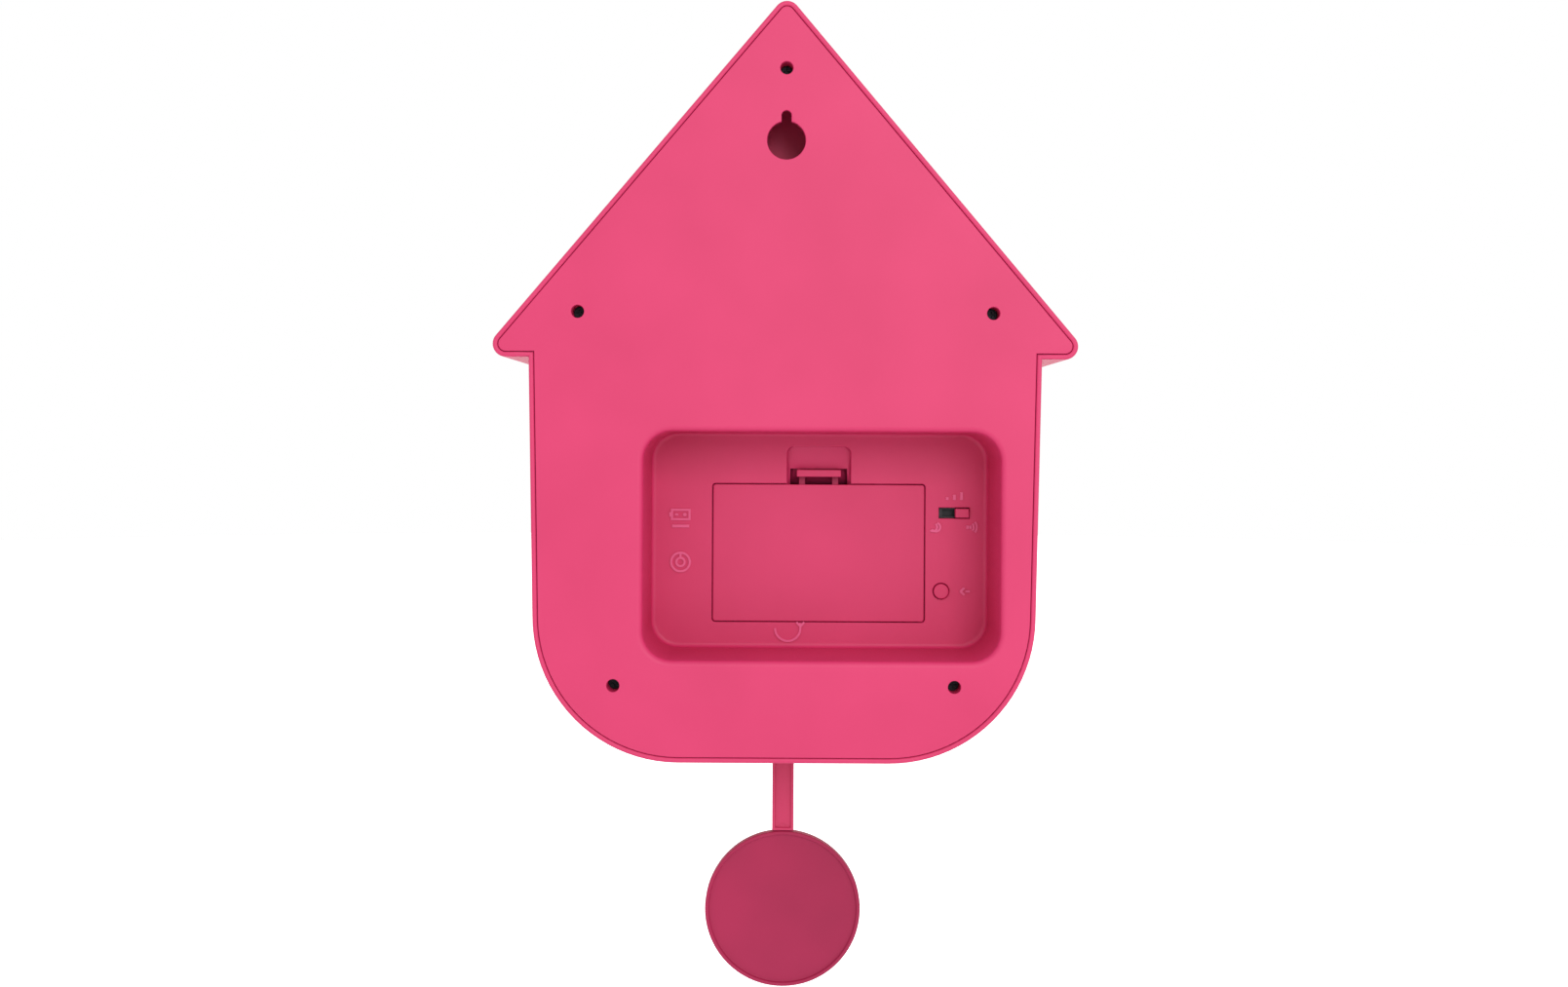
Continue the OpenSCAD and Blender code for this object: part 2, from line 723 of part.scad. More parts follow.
module speaker_magnet() {
    color(STEEL)
        rod_y(speaker_at[0], speaker_at[1], face_in - 15, face_in - 10, speaker_d/4 + 1);
}

module inner_screws() {
    color(STEEL) {
        for (p = CHASSIS_SCREWS) {
            rod_y(p[0], p[1], chassis_front - 1.6 - mini_head_t, chassis_front - 1.6, mini_head_r);
            rod_y(p[0], p[1], chassis_front - 1.7, face_in + 0.6, mini_r);
        }
        for (p = BRACKET_SCREWS) {
            rod_y(p[0], p[1], bracket_depth - 1.5 - mini_head_t, bracket_depth - 1.5, mini_head_r);
            rod_y(p[0], p[1], bracket_depth - 1.6, bracket_depth + 8, mini_r);
        }
        for (p = SPEAKER_SCREWS) {
            rod_y(p[0], p[1], face_in - 3.3, face_in - 2.5, 1.3);
            rod_y(p[0], p[1], face_in - 2.6, face_in + 1, mini_r*0.7 - 0.02);
        }
        for (p = BOARD_SCREWS) {
            rod_y(p[0], p[1], -board_y + board_t, -board_y + board_t + mini_head_t, mini_head_r);
            rod_y(p[0], p[1], -board_y - 4, -board_y + board_t + 0.1, mini_r);
        }
    }
}

lead_h = 0.55;                           // half the side of a square lead

// square lead laid along the axes through a list of points
module lead(points) {
    for (i = [0:len(points) - 2]) {
        low = [for (k = [0:2]) min(points[i][k], points[i + 1][k]) - lead_h];
        high = [for (k = [0:2]) max(points[i][k], points[i + 1][k]) + lead_h];
        translate(low) cube(high - low);
    }
}

module wiring() {
    xm = (board_x0 + board_x1)/2;
    top = board_z1 - 3;
    yw = -well_floor + 1.1;
    yb = board_y - board_t - lead_h;     // a lead's end flush on the solder side
    ym = -lid_in - 14;
    ys = -face_in + 7;
    yl = -face_in + 1.6;
    yc = pend_y - 8;
    zc = pivot_z - 9;
    xs = speaker_at[0] - speaker_d/2 + 4 - lead_h;
    color(RED) {
        // cells
        lead([[well_x0 + 0.6, yw, LEAD_Z[0]], [board_x1 - 4, yw, LEAD_Z[0]],
              [board_x1 - 4, yb, LEAD_Z[0]]]);
        lead([[wall_x - 1, yw, LEAD_Z[1]], [xm - 4.7, yw, LEAD_Z[1]], [xm - 4.7, yb, LEAD_Z[1]]]);
        // motor
        lead([[-20.65 - lead_h, motor_at[0], motor_at[1]], [-30, motor_at[0], motor_at[1]],
              [-30, ym, motor_at[1]], [xm - 2, ym, motor_at[1]], [xm - 2, ym, top],
              [xm - 2, yb, top]]);
        // loudspeaker
        lead([[xs, ys, speaker_at[1]], [xm + 0.3, ys, speaker_at[1]], [xm + 0.3, ys, pocket_z + 48],
              [xm + 0.3, ym - 2.5, pocket_z + 48], [xm + 0.3, ym - 2.5, top - 4],
              [xm + 0.3, yb, top - 4]]);
        // movement
        lead([[-move_side/2 - lead_h - 0.05, -move_back - 4, dial_z - 12],
              [xm + 4.8, -move_back - 4, dial_z - 12], [xm + 4.8, yb, dial_z - 12]]);
        // pendulum coil
        lead([[-4.65 - lead_h, yc, zc], [xm + 1.8, yc, zc], [xm + 1.8, yc, board_z0 + 1.9],
              [xm + 1.8, yb, board_z0 + 1.9]]);
        // light sensor
        lead([[-1.65 - lead_h, yl, sensor_z], [xm + 4.8, yl, sensor_z],
              [xm + 4.8, yl, pocket_z + 40], [xm + 4.8, ym + 2, pocket_z + 40],
              [xm + 4.8, ym + 2, top], [xm + 4.8, yb, top]]);
    }
}

// ---------------------------------------------------------------- movement

module move_box(back, front) {
    h = move_side/2;
    slab(back, front) translate([0, dial_z]) rounded_rect(2*h, 2*h, 4);
}

module move_hollow(back, front) {
    h = move_side/2 - move_wall;
    slab(back, front) translate([0, dial_z]) rounded_rect(2*h, 2*h, 4 - move_wall);
}
move_split = mid_plate - 1.4;
ARBORS = [third_at, step_at, rotor_at];

module movement_back() {
    color(DARK) difference() {
        move_box(move_back, move_split);
        move_hollow(move_back + move_wall, move_split + 1);
        for (p = ARBORS) rod_y(p[0], p[1], move_back + 0.4, move_back + 2, pivot_r + run_gap);
        rod_y(0, dial_z, move_back + 0.4, move_back + 2, thin_arbor_r + run_gap);
        rod_y(mesh_a, dial_z, move_back - 1, move_back + 2, arbor_r + run_gap);
        rod_x(-move_back - 4, dial_z - 12, -move_side/2 - 1, -move_side/2 + 2, 0.9);
    }
}

module movement_front() {
    color(DARK) difference() {
        union() {
            difference() {
                move_box(move_split + 0.02, move_front);
                move_hollow(move_split - 1, move_front - move_wall);
            }
            rod_y(0, dial_z, move_front - 0.1, face_in, 12);
            rod_y(0, dial_z, move_front, face_in + 8.5, bush_r);
        }
        rod_y(0, dial_z, move_front - 2, face_in + 10, hour_tube_r + run_gap);
        rod_y(mesh_a, dial_z, move_front - 2, move_front - 0.4, arbor_r + run_gap);
    }
}

module movement_plate() {
    h = move_side/2 - move_wall - 0.1;
    color(NYLON) difference() {
        slab(mid_plate - 0.8, mid_plate) translate([0, dial_z]) rounded_rect(2*h, 2*h, 4 - move_wall);
        for (p = ARBORS) rod_y(p[0], p[1], mid_plate - 2, mid_plate + 1, pivot_r + run_gap);
        rod_y(0, dial_z, mid_plate - 2, mid_plate + 1, arbor_r + run_gap);
        rod_y(mesh_a, dial_z, mid_plate - 2, mid_plate + 1, arbor_r + run_gap);
    }
}

module movement_nut() {
    color(STEEL) difference() {
        translate([0, -case_depth - dial_t, dial_z]) rotate([90, 0, 0]) cylinder(h = 2.8, r = 6.8, $fn = 6);
        rod_y(0, dial_z, case_depth, case_depth + 6, bush_r + 0.02);
    }
}
coil_z = dial_z - 21;
coil_x = [-24, -4];

module movement_coil() {
    y = -(third_plane - 0.4);
    color(COPPER) difference() {
        union() {
            rod_x(y, coil_z, coil_x[0], coil_x[1], 3);
            for (x = coil_x) rod_x(y, coil_z, x - 0.8, x + 0.8, 3.4);
        }
        box(coil_x[0] - 2, coil_x[1] + 2, y - 0.62, y + 0.62, coil_z - 1.6, coil_z + 1.6);
    }
}

module movement_stator() {
    y = third_plane - 0.4;
    color(STEEL) slab(y - 0.55, y + 0.55) difference() {
        union() {
            translate([coil_x[0] - 2.4, coil_z - 1.5]) square([coil_x[1] - coil_x[0] + 4.8, 3]);
            translate([coil_x[0] - 2.4, coil_z - 1.5]) square([1.4, rotor_at[1] - coil_z + 1.5]);
            translate([coil_x[1] + 1, coil_z - 1.5]) square([1.4, 6.4]);
            translate([rotor_at[0], coil_z + 4.9 - EPS]) square([coil_x[1] - rotor_at[0] + 2.4, 2.8]);
            translate([rotor_at[0] + 1.2, coil_z + 5]) square([3.4, rotor_at[1] - coil_z - 5]);
            translate(rotor_at) circle(5);
        }
        translate(rotor_at) circle(3.15);
    }
}

module movement_board() {
    y = -move_back - move_wall;
    color(GREEN) {
        box(-2, 9, y - 2.2, y - 1, dial_z - 26, dial_z - 13);
        rod_x(y - 3.2, dial_z - 23, -1, 6, 1.1);
        box(0, 6, y - 3.4, y - 2, dial_z - 20, dial_z - 15);
    }
}

// arbor shared by the three inner wheels of the train
module train_arbor(at, wheel_front, wheel_n, wheel_phase, pinion_back, pinion_front, pinion_phase) {
    color(NYLON) {
        gear_y(at, train_m, wheel_n, wheel_phase, 0, wheel_front - 0.8, wheel_front);
        gear_y(at, train_m, 10, pinion_phase, 0, pinion_back, pinion_front);
        rod_y(at[0], at[1], move_back + 0.5, mid_plate - 0.05, pivot_r);
        rod_y(at[0], at[1], move_back + move_wall + 0.1, pinion_front, 0.7);
    }
}

function dir_of(a, b) = atan2(b[1] - a[1], b[0] - a[0]);
centre_at = [0, dial_z];
dir_c3 = dir_of(centre_at, third_at);
dir_3s = dir_of(third_at, step_at);
dir_sr = dir_of(step_at, rotor_at);

module centre_wheel() {
    color(NYLON) {
        gear_y(centre_at, train_m, 60, dir_c3, thin_arbor_r + run_gap, centre_plane - 0.8, centre_plane);
        slab(centre_plane - 1.5, centre_plane - 0.7) translate(centre_at)
            ring(2, thin_arbor_r + run_gap);
    }
}

module third_wheel() {
    train_arbor(third_at, third_plane, 60, dir_3s, third_plane - 0.1, centre_plane + 0.2,
                meshed(dir_c3, dir_c3, 60, 10));
}

module step_wheel() {
    train_arbor(step_at, step_plane, 60, dir_sr, step_plane - 0.1, third_plane + 0.2,
                meshed(dir_3s, dir_3s, 60, 10));
}

module rotor() {
    color(STEEL) {
        gear_y(rotor_at, train_m, 12, meshed(dir_sr, dir_sr, 60, 12), 0,
               step_plane - 1, step_plane + 0.2);
        rod_y(rotor_at[0], rotor_at[1], move_back + 0.5, mid_plate - 0.05, pivot_r);
        rod_y(rotor_at[0], rotor_at[1], third_plane - 1.8, third_plane + 1.2, 2.8);
    }
}

module minute_arbor() {
    color(STEEL) {
        rod_y(0, dial_z, move_back + 0.5, centre_plane + 0.1, thin_arbor_r);
        rod_y(0, dial_z, centre_plane + 0.1, face_in + 14.7, arbor_r);
        gear_y(centre_at, mesh_m, 10, 0, 0, minute_plane - 1.3, minute_plane + 0.2);
    }
}

module minute_wheel() {
    at = [mesh_a, dial_z];
    color(NYLON) {
        gear_y(at, mesh_m, 30, 186, 0, minute_plane - 1.1, minute_plane);
        gear_y(at, mesh_m, 8, 180, 0, minute_plane - 0.1, hour_plane + 0.1);
        rod_y(at[0], at[1], lid_in + 5, move_front - 0.5, arbor_r);
    }
}

module set_knob() {
    color(NYLON) difference() {
        slab(lid_in + 3, well_floor - 2) translate([knob_at_x, dial_z]) difference() {
            circle(5.5);
            for (a = [0:20:340]) rotate(a) translate([5.8, 0]) circle(0.6);
        }
        rod_y(knob_at_x, dial_z, lid_in + 5, well_floor, arbor_r + 0.02);
    }
}

module hour_wheel() {
    color(NYLON) difference() {
        union() {
            gear_y(centre_at, mesh_m, 32, meshed(180, 180, 8, 32), 0, hour_plane - 1.2, hour_plane);
            rod_y(0, dial_z, hour_plane - 0.1, face_in + 11.2, hour_tube_r);
        }
        rod_y(0, dial_z, hour_plane - 2, face_in + 12, arbor_r + run_gap);
    }
}

// tapered hand lying along +Z
module hand_2d(len, w, hub, hole) {
    difference() {
        union() {
            circle(hub);
            polygon([[-w, -len*0.22], [w, -len*0.22], [w*0.7, 0], [w, len*0.62], [0, len],
                     [-w, len*0.62], [-w*0.7, 0]]);
        }
        circle(hole);
    }
}

module hour_hand() {
    color(DARK) slab(face_in + 9.4, face_in + 10.6) translate(centre_at) rotate(60)
        hand_2d(hour_len, 3, 4, hour_tube_r + 0.02);
}

module minute_hand() {
    color(DARK) slab(face_in + 12.4, face_in + 13.4) translate(centre_at) rotate(-60)
        hand_2d(minute_len, 2.2, 3, arbor_r + 0.02);
}

// ---------------------------------------------------------------- cuckoo

dir_2f = dir_of([pinion_y, drive_z], first_at);
dir_fm = dir_of(first_at, motor_at);
rack_pitch = PI*rack_m;

module bird_carriage() {
    y0 = -(face_in - 13.5);
    y1 = pinion_y + travel + 3;
    yr = pinion_y - 3;
    color(NYLON) {
        box(-rail_in + slide_gap, rail_in - slide_gap, y0, y1, track_z, track_z + 2.2);
        translate([0, bird_y, track_z + 1]) cylinder(h = post_top - track_z - 1, r = 2);
        // rack teeth with a gap above the pinion at rest
        slab_x(-2.2, 2.2) {
            difference() {
                translate([yr, rack_z - addendum*rack_m])
                    square([y1 - yr, track_z + 0.2 - rack_z + addendum*rack_m]);
                for (k = [-3:ceil((y1 - pinion_y)/rack_pitch) + 1])
                    translate([pinion_y + k*rack_pitch, rack_z]) rack_gap();
            }
        }
    }
}

module rack_gap() {
    h = rack_pitch/4*(2 - tooth_fill);
    up = dedendum*rack_m;
    dn = addendum*rack_m + 0.1;
    t = tan(pressure);
    polygon([[-h + up*t, up], [h - up*t, up], [h + dn*t, -dn], [-h - dn*t, -dn]]);
}

module bird_2d_body() {
    intersection() {
        translate([bird_d/2 - body_arc, 0]) circle(body_arc);
        translate([0, -body_arc]) square([body_arc, 2*body_arc]);
    }
}

module wing_2d() {
    translate([bird_y - 1, bird_z]) circle(5.6);
    polygon([[bird_y - 1, bird_z + 5.6], [bird_y - 1, bird_z - 5.6], [bird_y + 14, bird_z - 3.5]]);
}

module bird_body() {
    color(YELLOW) difference() {
        union() {
            translate([0, bird_y, bird_z]) rotate([90 - 12, 0, 0]) rotate_extrude() bird_2d_body();
            translate([0, bird_y - 9.5, bird_z + 6.2]) sphere(head_r);
            slab_x(-4.5, 4.5) polygon([[bird_y + 7, bird_z - 3], [bird_y + 20, bird_z - 7.2],
                                       [bird_y + 20, bird_z - 5.4], [bird_y + 7, bird_z + 2]]);
        }
        translate([0, bird_y, track_z]) cylinder(h = post_top - track_z + 0.02, r = 2.02);
        wing_pair(0.02, 2.4);
        beak_cone(0.02);
        for (s = [-1, 1]) translate([s*5.2, bird_y - 13, bird_z + 8.4]) sphere(1.1);
    }
}

module wing_pair(grow, t) {
    for (s = [-1, 1]) slab_x(s*(bird_d/2 - 0.2) - t/2, s*(bird_d/2 - 0.2) + t/2)
        offset_wing(grow);
}

module offset_wing(grow) {
    translate([bird_y - 1, bird_z]) scale(1 + grow/5) translate([1 - bird_y, -bird_z]) wing_2d();
}

module bird_wings() {
    color(RED) wing_pair(0, 2);
}

module beak_cone(grow) {
    translate([0, bird_y - 14, bird_z + 6]) rotate([90, 0, 0])
        cylinder(h = 6.5, r1 = 2.6 + grow, r2 = 0.5 + grow);
}

module bird_beak() {
    color(RED) beak_cone(0);
}

plate_x = [4.8, 6];
outer_x = [13.2, 14.6];
lug_x = [-4.9, -3.6];

module cuckoo_chassis() {
    yf = -chassis_front;
    yb = -chassis_rear;
    slot_half = 3;
    color(NYLON) difference() {
        union() {
            box(-rail_out, outer_x[1], yf, yb, base_z, deck_z);
            for (s = [-1, 1]) {
                box(s > 0 ? rail_in : -rail_out, s > 0 ? rail_out : -rail_in,
                    yf, yb, base_z, track_z + 4);
                box(s > 0 ? 5.2 : -rail_in - 0.1, s > 0 ? rail_in + 0.1 : -5.2,
                    yf, yb, base_z + 0.1, track_z - slide_gap);
                box(s > 0 ? 6 : -rail_in - 0.1, s > 0 ? rail_in + 0.1 : -6,
                    yf, yb, track_z + 2.2 + slide_gap, track_z + 4);
            }
            box(-24, 24, yf, yf + 1.6, chassis_low, base_z + 0.5);
            box(plate_x[0], plate_x[1], yf, yb, chassis_low, base_z + 0.5);
            box(outer_x[0], outer_x[1], yf, yb, chassis_low, base_z + 0.5);
            box(lug_x[0], lug_x[1], pinion_y - 4, pinion_y + 4, drive_z - 4, base_z + 0.5);
            // cradle walls beside the motor
            for (s = [-1, 1]) box(-14, plate_x[0] + 0.1, motor_at[0] + s*8.2 - 0.6,
                                  motor_at[0] + s*8.2 + 0.6, motor_at[1] - 4, base_z + 0.5);
        }
        // slots for rack pinion and drive gear
        box(-slot_half, slot_half, pinion_y - 6.5, pinion_y + 6.5, base_z - 1, deck_z + 1);
        box(rail_out + 0.3, outer_x[0] - 0.01, pinion_y - 11.5, pinion_y + 11.5,
            base_z - 1, deck_z + 1);
        rod_x(pinion_y, drive_z, lug_x[0] - 1, outer_x[1] + 1, 1.2 + run_gap);
        rod_x(first_at[0], first_at[1], plate_x[0] - 1, outer_x[1] + 1, 0.8 + run_gap);
        rod_x(motor_at[0], motor_at[1], plate_x[0] - 1, plate_x[1] + 1, 3.1);
        for (p = CHASSIS_SCREWS)
            rod_y(p[0], p[1], chassis_front - 3, chassis_front + 1, mini_r + 0.1);
    }
}

module drive_gear() {
    at = [pinion_y, drive_z];
    color(NYLON) {
        gear_x(at, rack_m, 12, 90, 0, -2.2, 2.2);
        gear_x(at, drive_m, 40, dir_2f, 0, 10.2, 12);
        rod_x(pinion_y, drive_z, lug_x[0] + 0.1, outer_x[1] - 0.1, 1.2);
        rod_x(pinion_y, drive_z, 11.9, 13, 2.4);
    }
}

module first_gear() {
    color(NYLON) {
        gear_x(first_at, drive_m, 10, meshed(dir_2f, dir_2f, 40, 10), 0, 7.9, 12.4);
        gear_x(first_at, motor_m, 40, dir_fm, 0, 6.6, 8);
        rod_x(first_at[0], first_at[1], 4.9, outer_x[1] - 0.1, 0.8);
    }
}

module motor_pinion() {
    color(STEEL) {
        gear_x(motor_at, motor_m, 10, meshed(dir_fm, dir_fm, 40, 10), 0, 6.3, 8.3);
        rod_x(motor_at[0], motor_at[1], 2, 8.8, 0.8);
    }
}

module motor_can() {
    color(STEEL) difference() {
        union() {
            slab_x(-20.6, 4.7) translate(motor_at) intersection() {
                circle(10);
                square([15, 30], center = true);
            }
            rod_x(motor_at[0], motor_at[1], 4.6, 5.8, 3);
        }
        rod_x(motor_at[0], motor_at[1], 1.8, 6, 0.8 + run_gap);
    }
}

// door leaf on the side given by s, hinged on its outer edge
module leaf(s) {
    notch = [for (z = LUGS) z - 0.3];
    difference() {
        union() {
            slab(-leaf_y - leaf_t, -leaf_y) intersection() {
                gate_2d(0.3);
                translate([s > 0 ? leaf_gap : -gate_w - leaf_gap, gate_z]) square([gate_w, gate_h]);
            }
            for (z = [LUGS[0] + lug_h + 0.3, LUGS[1] - 0.3 - 5.5]) {
                translate([s*hinge_x, hinge_y, z]) cylinder(h = 5.5, r = knuckle_r);
                box(s > 0 ? hinge_x - 2.6 : -hinge_x, s > 0 ? hinge_x : 2.6 - hinge_x,
                    hinge_y - 0.3, -case_depth - 0.05, z, z + 5.5);
            }
        }
        for (z = notch) box(s > 0 ? hinge_x - 2.2 : -gate_w, s > 0 ? gate_w : 2.2 - hinge_x,
                            leaf_y - 3, leaf_y + 3, z, z + lug_h + 0.6);
        translate([s*hinge_x, hinge_y, gate_z - 1]) cylinder(h = gate_h, r = pin_r + run_gap);
    }
}

module door_left() {
    color(PINK_DEEP) leaf(-1);
}

module door_right() {
    color(PINK_DEEP) leaf(1);
}

// ---------------------------------------------------------------- pendulum

module pendulum_bracket() {
    front = bracket_depth;
    top = pivot_z + 7;
    color(NYLON) difference() {
        union() {
            box(-17, 17, -front, -front + 1.5, pivot_z - 3, top);
            box(-5, 5, -front, -front + 1.5, pivot_z - 13, top);
            box(-6, 6, -front, pend_y + 5.5, top - 1.6, top);
            box(-4, 4, pend_y + 4, pend_y + 5.5, pivot_z - 3.5, top);
        }
        rod_y(0, pivot_z, -pend_y - 7, front + 1, 1 + 0.01);
        for (p = BRACKET_SCREWS) rod_y(p[0], p[1], front - 3, front + 1, mini_r + 0.1);
    }
}

module pendulum_pin() {
    color(STEEL) rod_y(0, pivot_z, -pend_y - 5.5, bracket_depth, 1);
}

module pendulum_coil() {
    color(COPPER) slab(-pend_y + 5, bracket_depth - 1.5) translate([0, pivot_z - 9]) ring(4.6, 1.4);
}

module pendulum_hanger() {
    color(NYLON) difference() {
        union() {
            slab(-pend_y - 2, -pend_y + 2) {
                translate([0, pivot_z]) circle(4.2);
                translate([-3.6, pivot_z - 13.2]) square([7.2, 13.2]);
            }
            slab(-pend_y, -pend_y + 2) translate([-3.6, hook_z - 3]) square([7.2, pivot_z - hook_z]);
            rod_y(0, hook_z, -pend_y - 2.4, -pend_y + 1, 1.2);
        }
        rod_y(0, pivot_z, -pend_y - 5, -pend_y + 5, 1 + run_gap);
        rod_y(0, pivot_z - 9, -pend_y + 0.6, -pend_y + 3, 3.02);
    }
}

module pendulum_magnet() {
    color(STEEL) rod_y(0, pivot_z - 9, -pend_y + 0.6, -pend_y + 2.6, 3);
}

socket_len = 9;
socket_w = 4;
socket_t = 1.6;
tray = 1;                                // depth of the disc's tray
tray_rim = 1.4;
tray_skin = 0.5;                         // disc wall between the tray and the plug
plug_back = -pend_y - disc_t/2 + tray + tray_skin;

module pendulum_rod() {
    neck = disc_z + disc_d/2;
    half = bar_pend_w/2;
    color(PINK) difference() {
        union() {
            // upper tongue with the hanging eye, then the channel bar, then the plug
            slab(-pend_y - 2, -pend_y - 0.1) translate([-3, hook_z - 4])
                square([6, rod_top - hook_z + 4]);
            slab(-pend_y - rod_t/2, -pend_y + rod_t/2) translate([-half, neck + 0.1])
                square([2*half, hook_z - 3.2 - neck - 0.1]);
            slab(plug_back, plug_back + socket_t) translate([-socket_w/2, neck - socket_len])
                square([socket_w, socket_len + 1]);
        }
        rod_y(0, hook_z, -pend_y - 3, -pend_y + 1, 1.25);
        // channel between the two raised edges of the wall side
        slab(-pend_y - rod_t/2 - 1, -pend_y - rod_t/2 + 0.8) translate([-half + 1.1, neck + 1.2])
            square([2*half - 2.2, bottom_z - neck - 4]);
    }
}

module pendulum_disc() {
    color(PINK) difference() {
        rod_y(0, disc_z, -pend_y - disc_t/2, -pend_y + disc_t/2, disc_d/2);
        rod_y(0, disc_z, -pend_y - disc_t/2 - 1, -pend_y - disc_t/2 + tray, disc_d/2 - tray_rim);
        slab(plug_back - 0.02, plug_back + socket_t + 0.02)
            translate([-socket_w/2 - 0.02, disc_z + disc_d/2 - socket_len - 0.02])
                square([socket_w + 0.04, socket_len + 3]);
    }
}

front_shell();
back_cover();
case_screws();
dial();
dial_bezel();
door_frame();
door_pins();
sensor_lens();
light_sensor();
battery_cells();
battery_springs();
battery_plates();
circuit_board();
board_parts();
slide_switch();
tact_switch();
speaker_basket();
speaker_cone();
speaker_magnet();
movement_front();
movement_back();
movement_plate();
movement_nut();
movement_coil();
movement_stator();
movement_board();
pendulum_bracket();
pendulum_pin();
pendulum_coil();
cuckoo_chassis();
motor_can();
inner_screws();
wiring();
pendulum_hanger();
pendulum_magnet();
pendulum_rod();
pendulum_disc();
battery_cover();
cover_latch();
mode_slider();
set_button();
minute_arbor();
minute_hand();
minute_wheel();
set_knob();
hour_wheel();
hour_hand();
rotor();
step_wheel();
third_wheel();
centre_wheel();
bird_carriage();
bird_body();
bird_beak();
bird_wings();
drive_gear();
first_gear();
motor_pinion();
door_left();
door_right();
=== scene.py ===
"""Looks of a house-shaped cuckoo wall clock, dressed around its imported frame.

The clock hangs on the wall plane y = 0 with its back to +Y. Each class below is one
sub-assembly: its fields are sizes in millimetres, and its methods make the pieces that
need softer edges or finer detail than the frame has and give every node its finish.
"""

from __future__ import annotations

import logging
import math
from dataclasses import dataclass
from enum import Enum
from typing import Any, Callable, Sequence

import bmesh
import bpy
from mathutils import Matrix, Vector


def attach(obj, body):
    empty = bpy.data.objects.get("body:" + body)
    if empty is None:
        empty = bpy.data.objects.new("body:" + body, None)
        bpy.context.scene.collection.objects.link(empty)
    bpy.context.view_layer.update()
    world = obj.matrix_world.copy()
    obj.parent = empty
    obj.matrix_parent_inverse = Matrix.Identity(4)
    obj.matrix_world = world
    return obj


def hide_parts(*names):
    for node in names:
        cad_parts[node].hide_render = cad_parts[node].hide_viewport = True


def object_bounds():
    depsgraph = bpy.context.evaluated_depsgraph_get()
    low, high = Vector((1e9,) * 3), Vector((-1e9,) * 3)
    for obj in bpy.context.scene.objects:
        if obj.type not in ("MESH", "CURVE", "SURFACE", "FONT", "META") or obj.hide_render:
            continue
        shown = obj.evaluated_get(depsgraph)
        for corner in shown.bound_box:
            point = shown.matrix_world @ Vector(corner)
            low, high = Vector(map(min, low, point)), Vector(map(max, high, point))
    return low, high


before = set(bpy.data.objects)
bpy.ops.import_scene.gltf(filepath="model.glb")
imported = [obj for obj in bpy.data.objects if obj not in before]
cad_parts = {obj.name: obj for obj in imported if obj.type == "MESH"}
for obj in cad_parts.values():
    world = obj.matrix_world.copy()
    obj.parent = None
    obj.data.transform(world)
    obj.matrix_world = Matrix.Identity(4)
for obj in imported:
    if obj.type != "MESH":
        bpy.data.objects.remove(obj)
cad_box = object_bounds()

log = logging.getLogger("cuckoo_clock")

MM = 0.001  # metres in a millimetre
SHARP_ANGLE = math.radians(38)  # edges turned further than this stay crisp
ROUND_ANGLE = math.radians(25)  # edges turned further than this can be rounded
MERGE_DISTANCE = 2e-6
FLAT_ANGLE = math.radians(0.4)
LEVELS_PER_MM = 200  # steps in which depths of flat faces are told apart
LEVEL_APART = 2  # this many steps between neighbours make separate flats
FACING_Y = 0.9999  # part of the normal along Y that makes a face flat to the wall
MARK_STEP = 0.006  # mm by which each mark stands higher than the one before
MARK_SUNK = 0.05  # mm by which marks reach into their face
NORMAL_WEIGHT = 80  # how far large faces lead the shading at shared points
FONT_RATIO = 1.35  # font size over the height of its digits


# ---------------------------------------------------------------- finishes


def linear(colour: str) -> tuple[float, float, float, float]:
    """Turns an sRGB hex colour into the linear colour that a shader takes.

    Args:
        colour: Six hex digits after a hash sign.

    Returns:
        Linear red, green, blue and an alpha of 1.
    """
    parts = [int(colour[i : i + 2], 16) / 255 for i in (1, 3, 5)]
    red, green, blue = (
        p / 12.92 if p <= 0.04045 else ((p + 0.055) / 1.055) ** 2.4 for p in parts
    )
    return red, green, blue, 1.0


def per_metre(size_mm: float) -> float:
    """Returns the texture scale that gives a pattern a size in millimetres."""
    return 1 / (size_mm * MM)


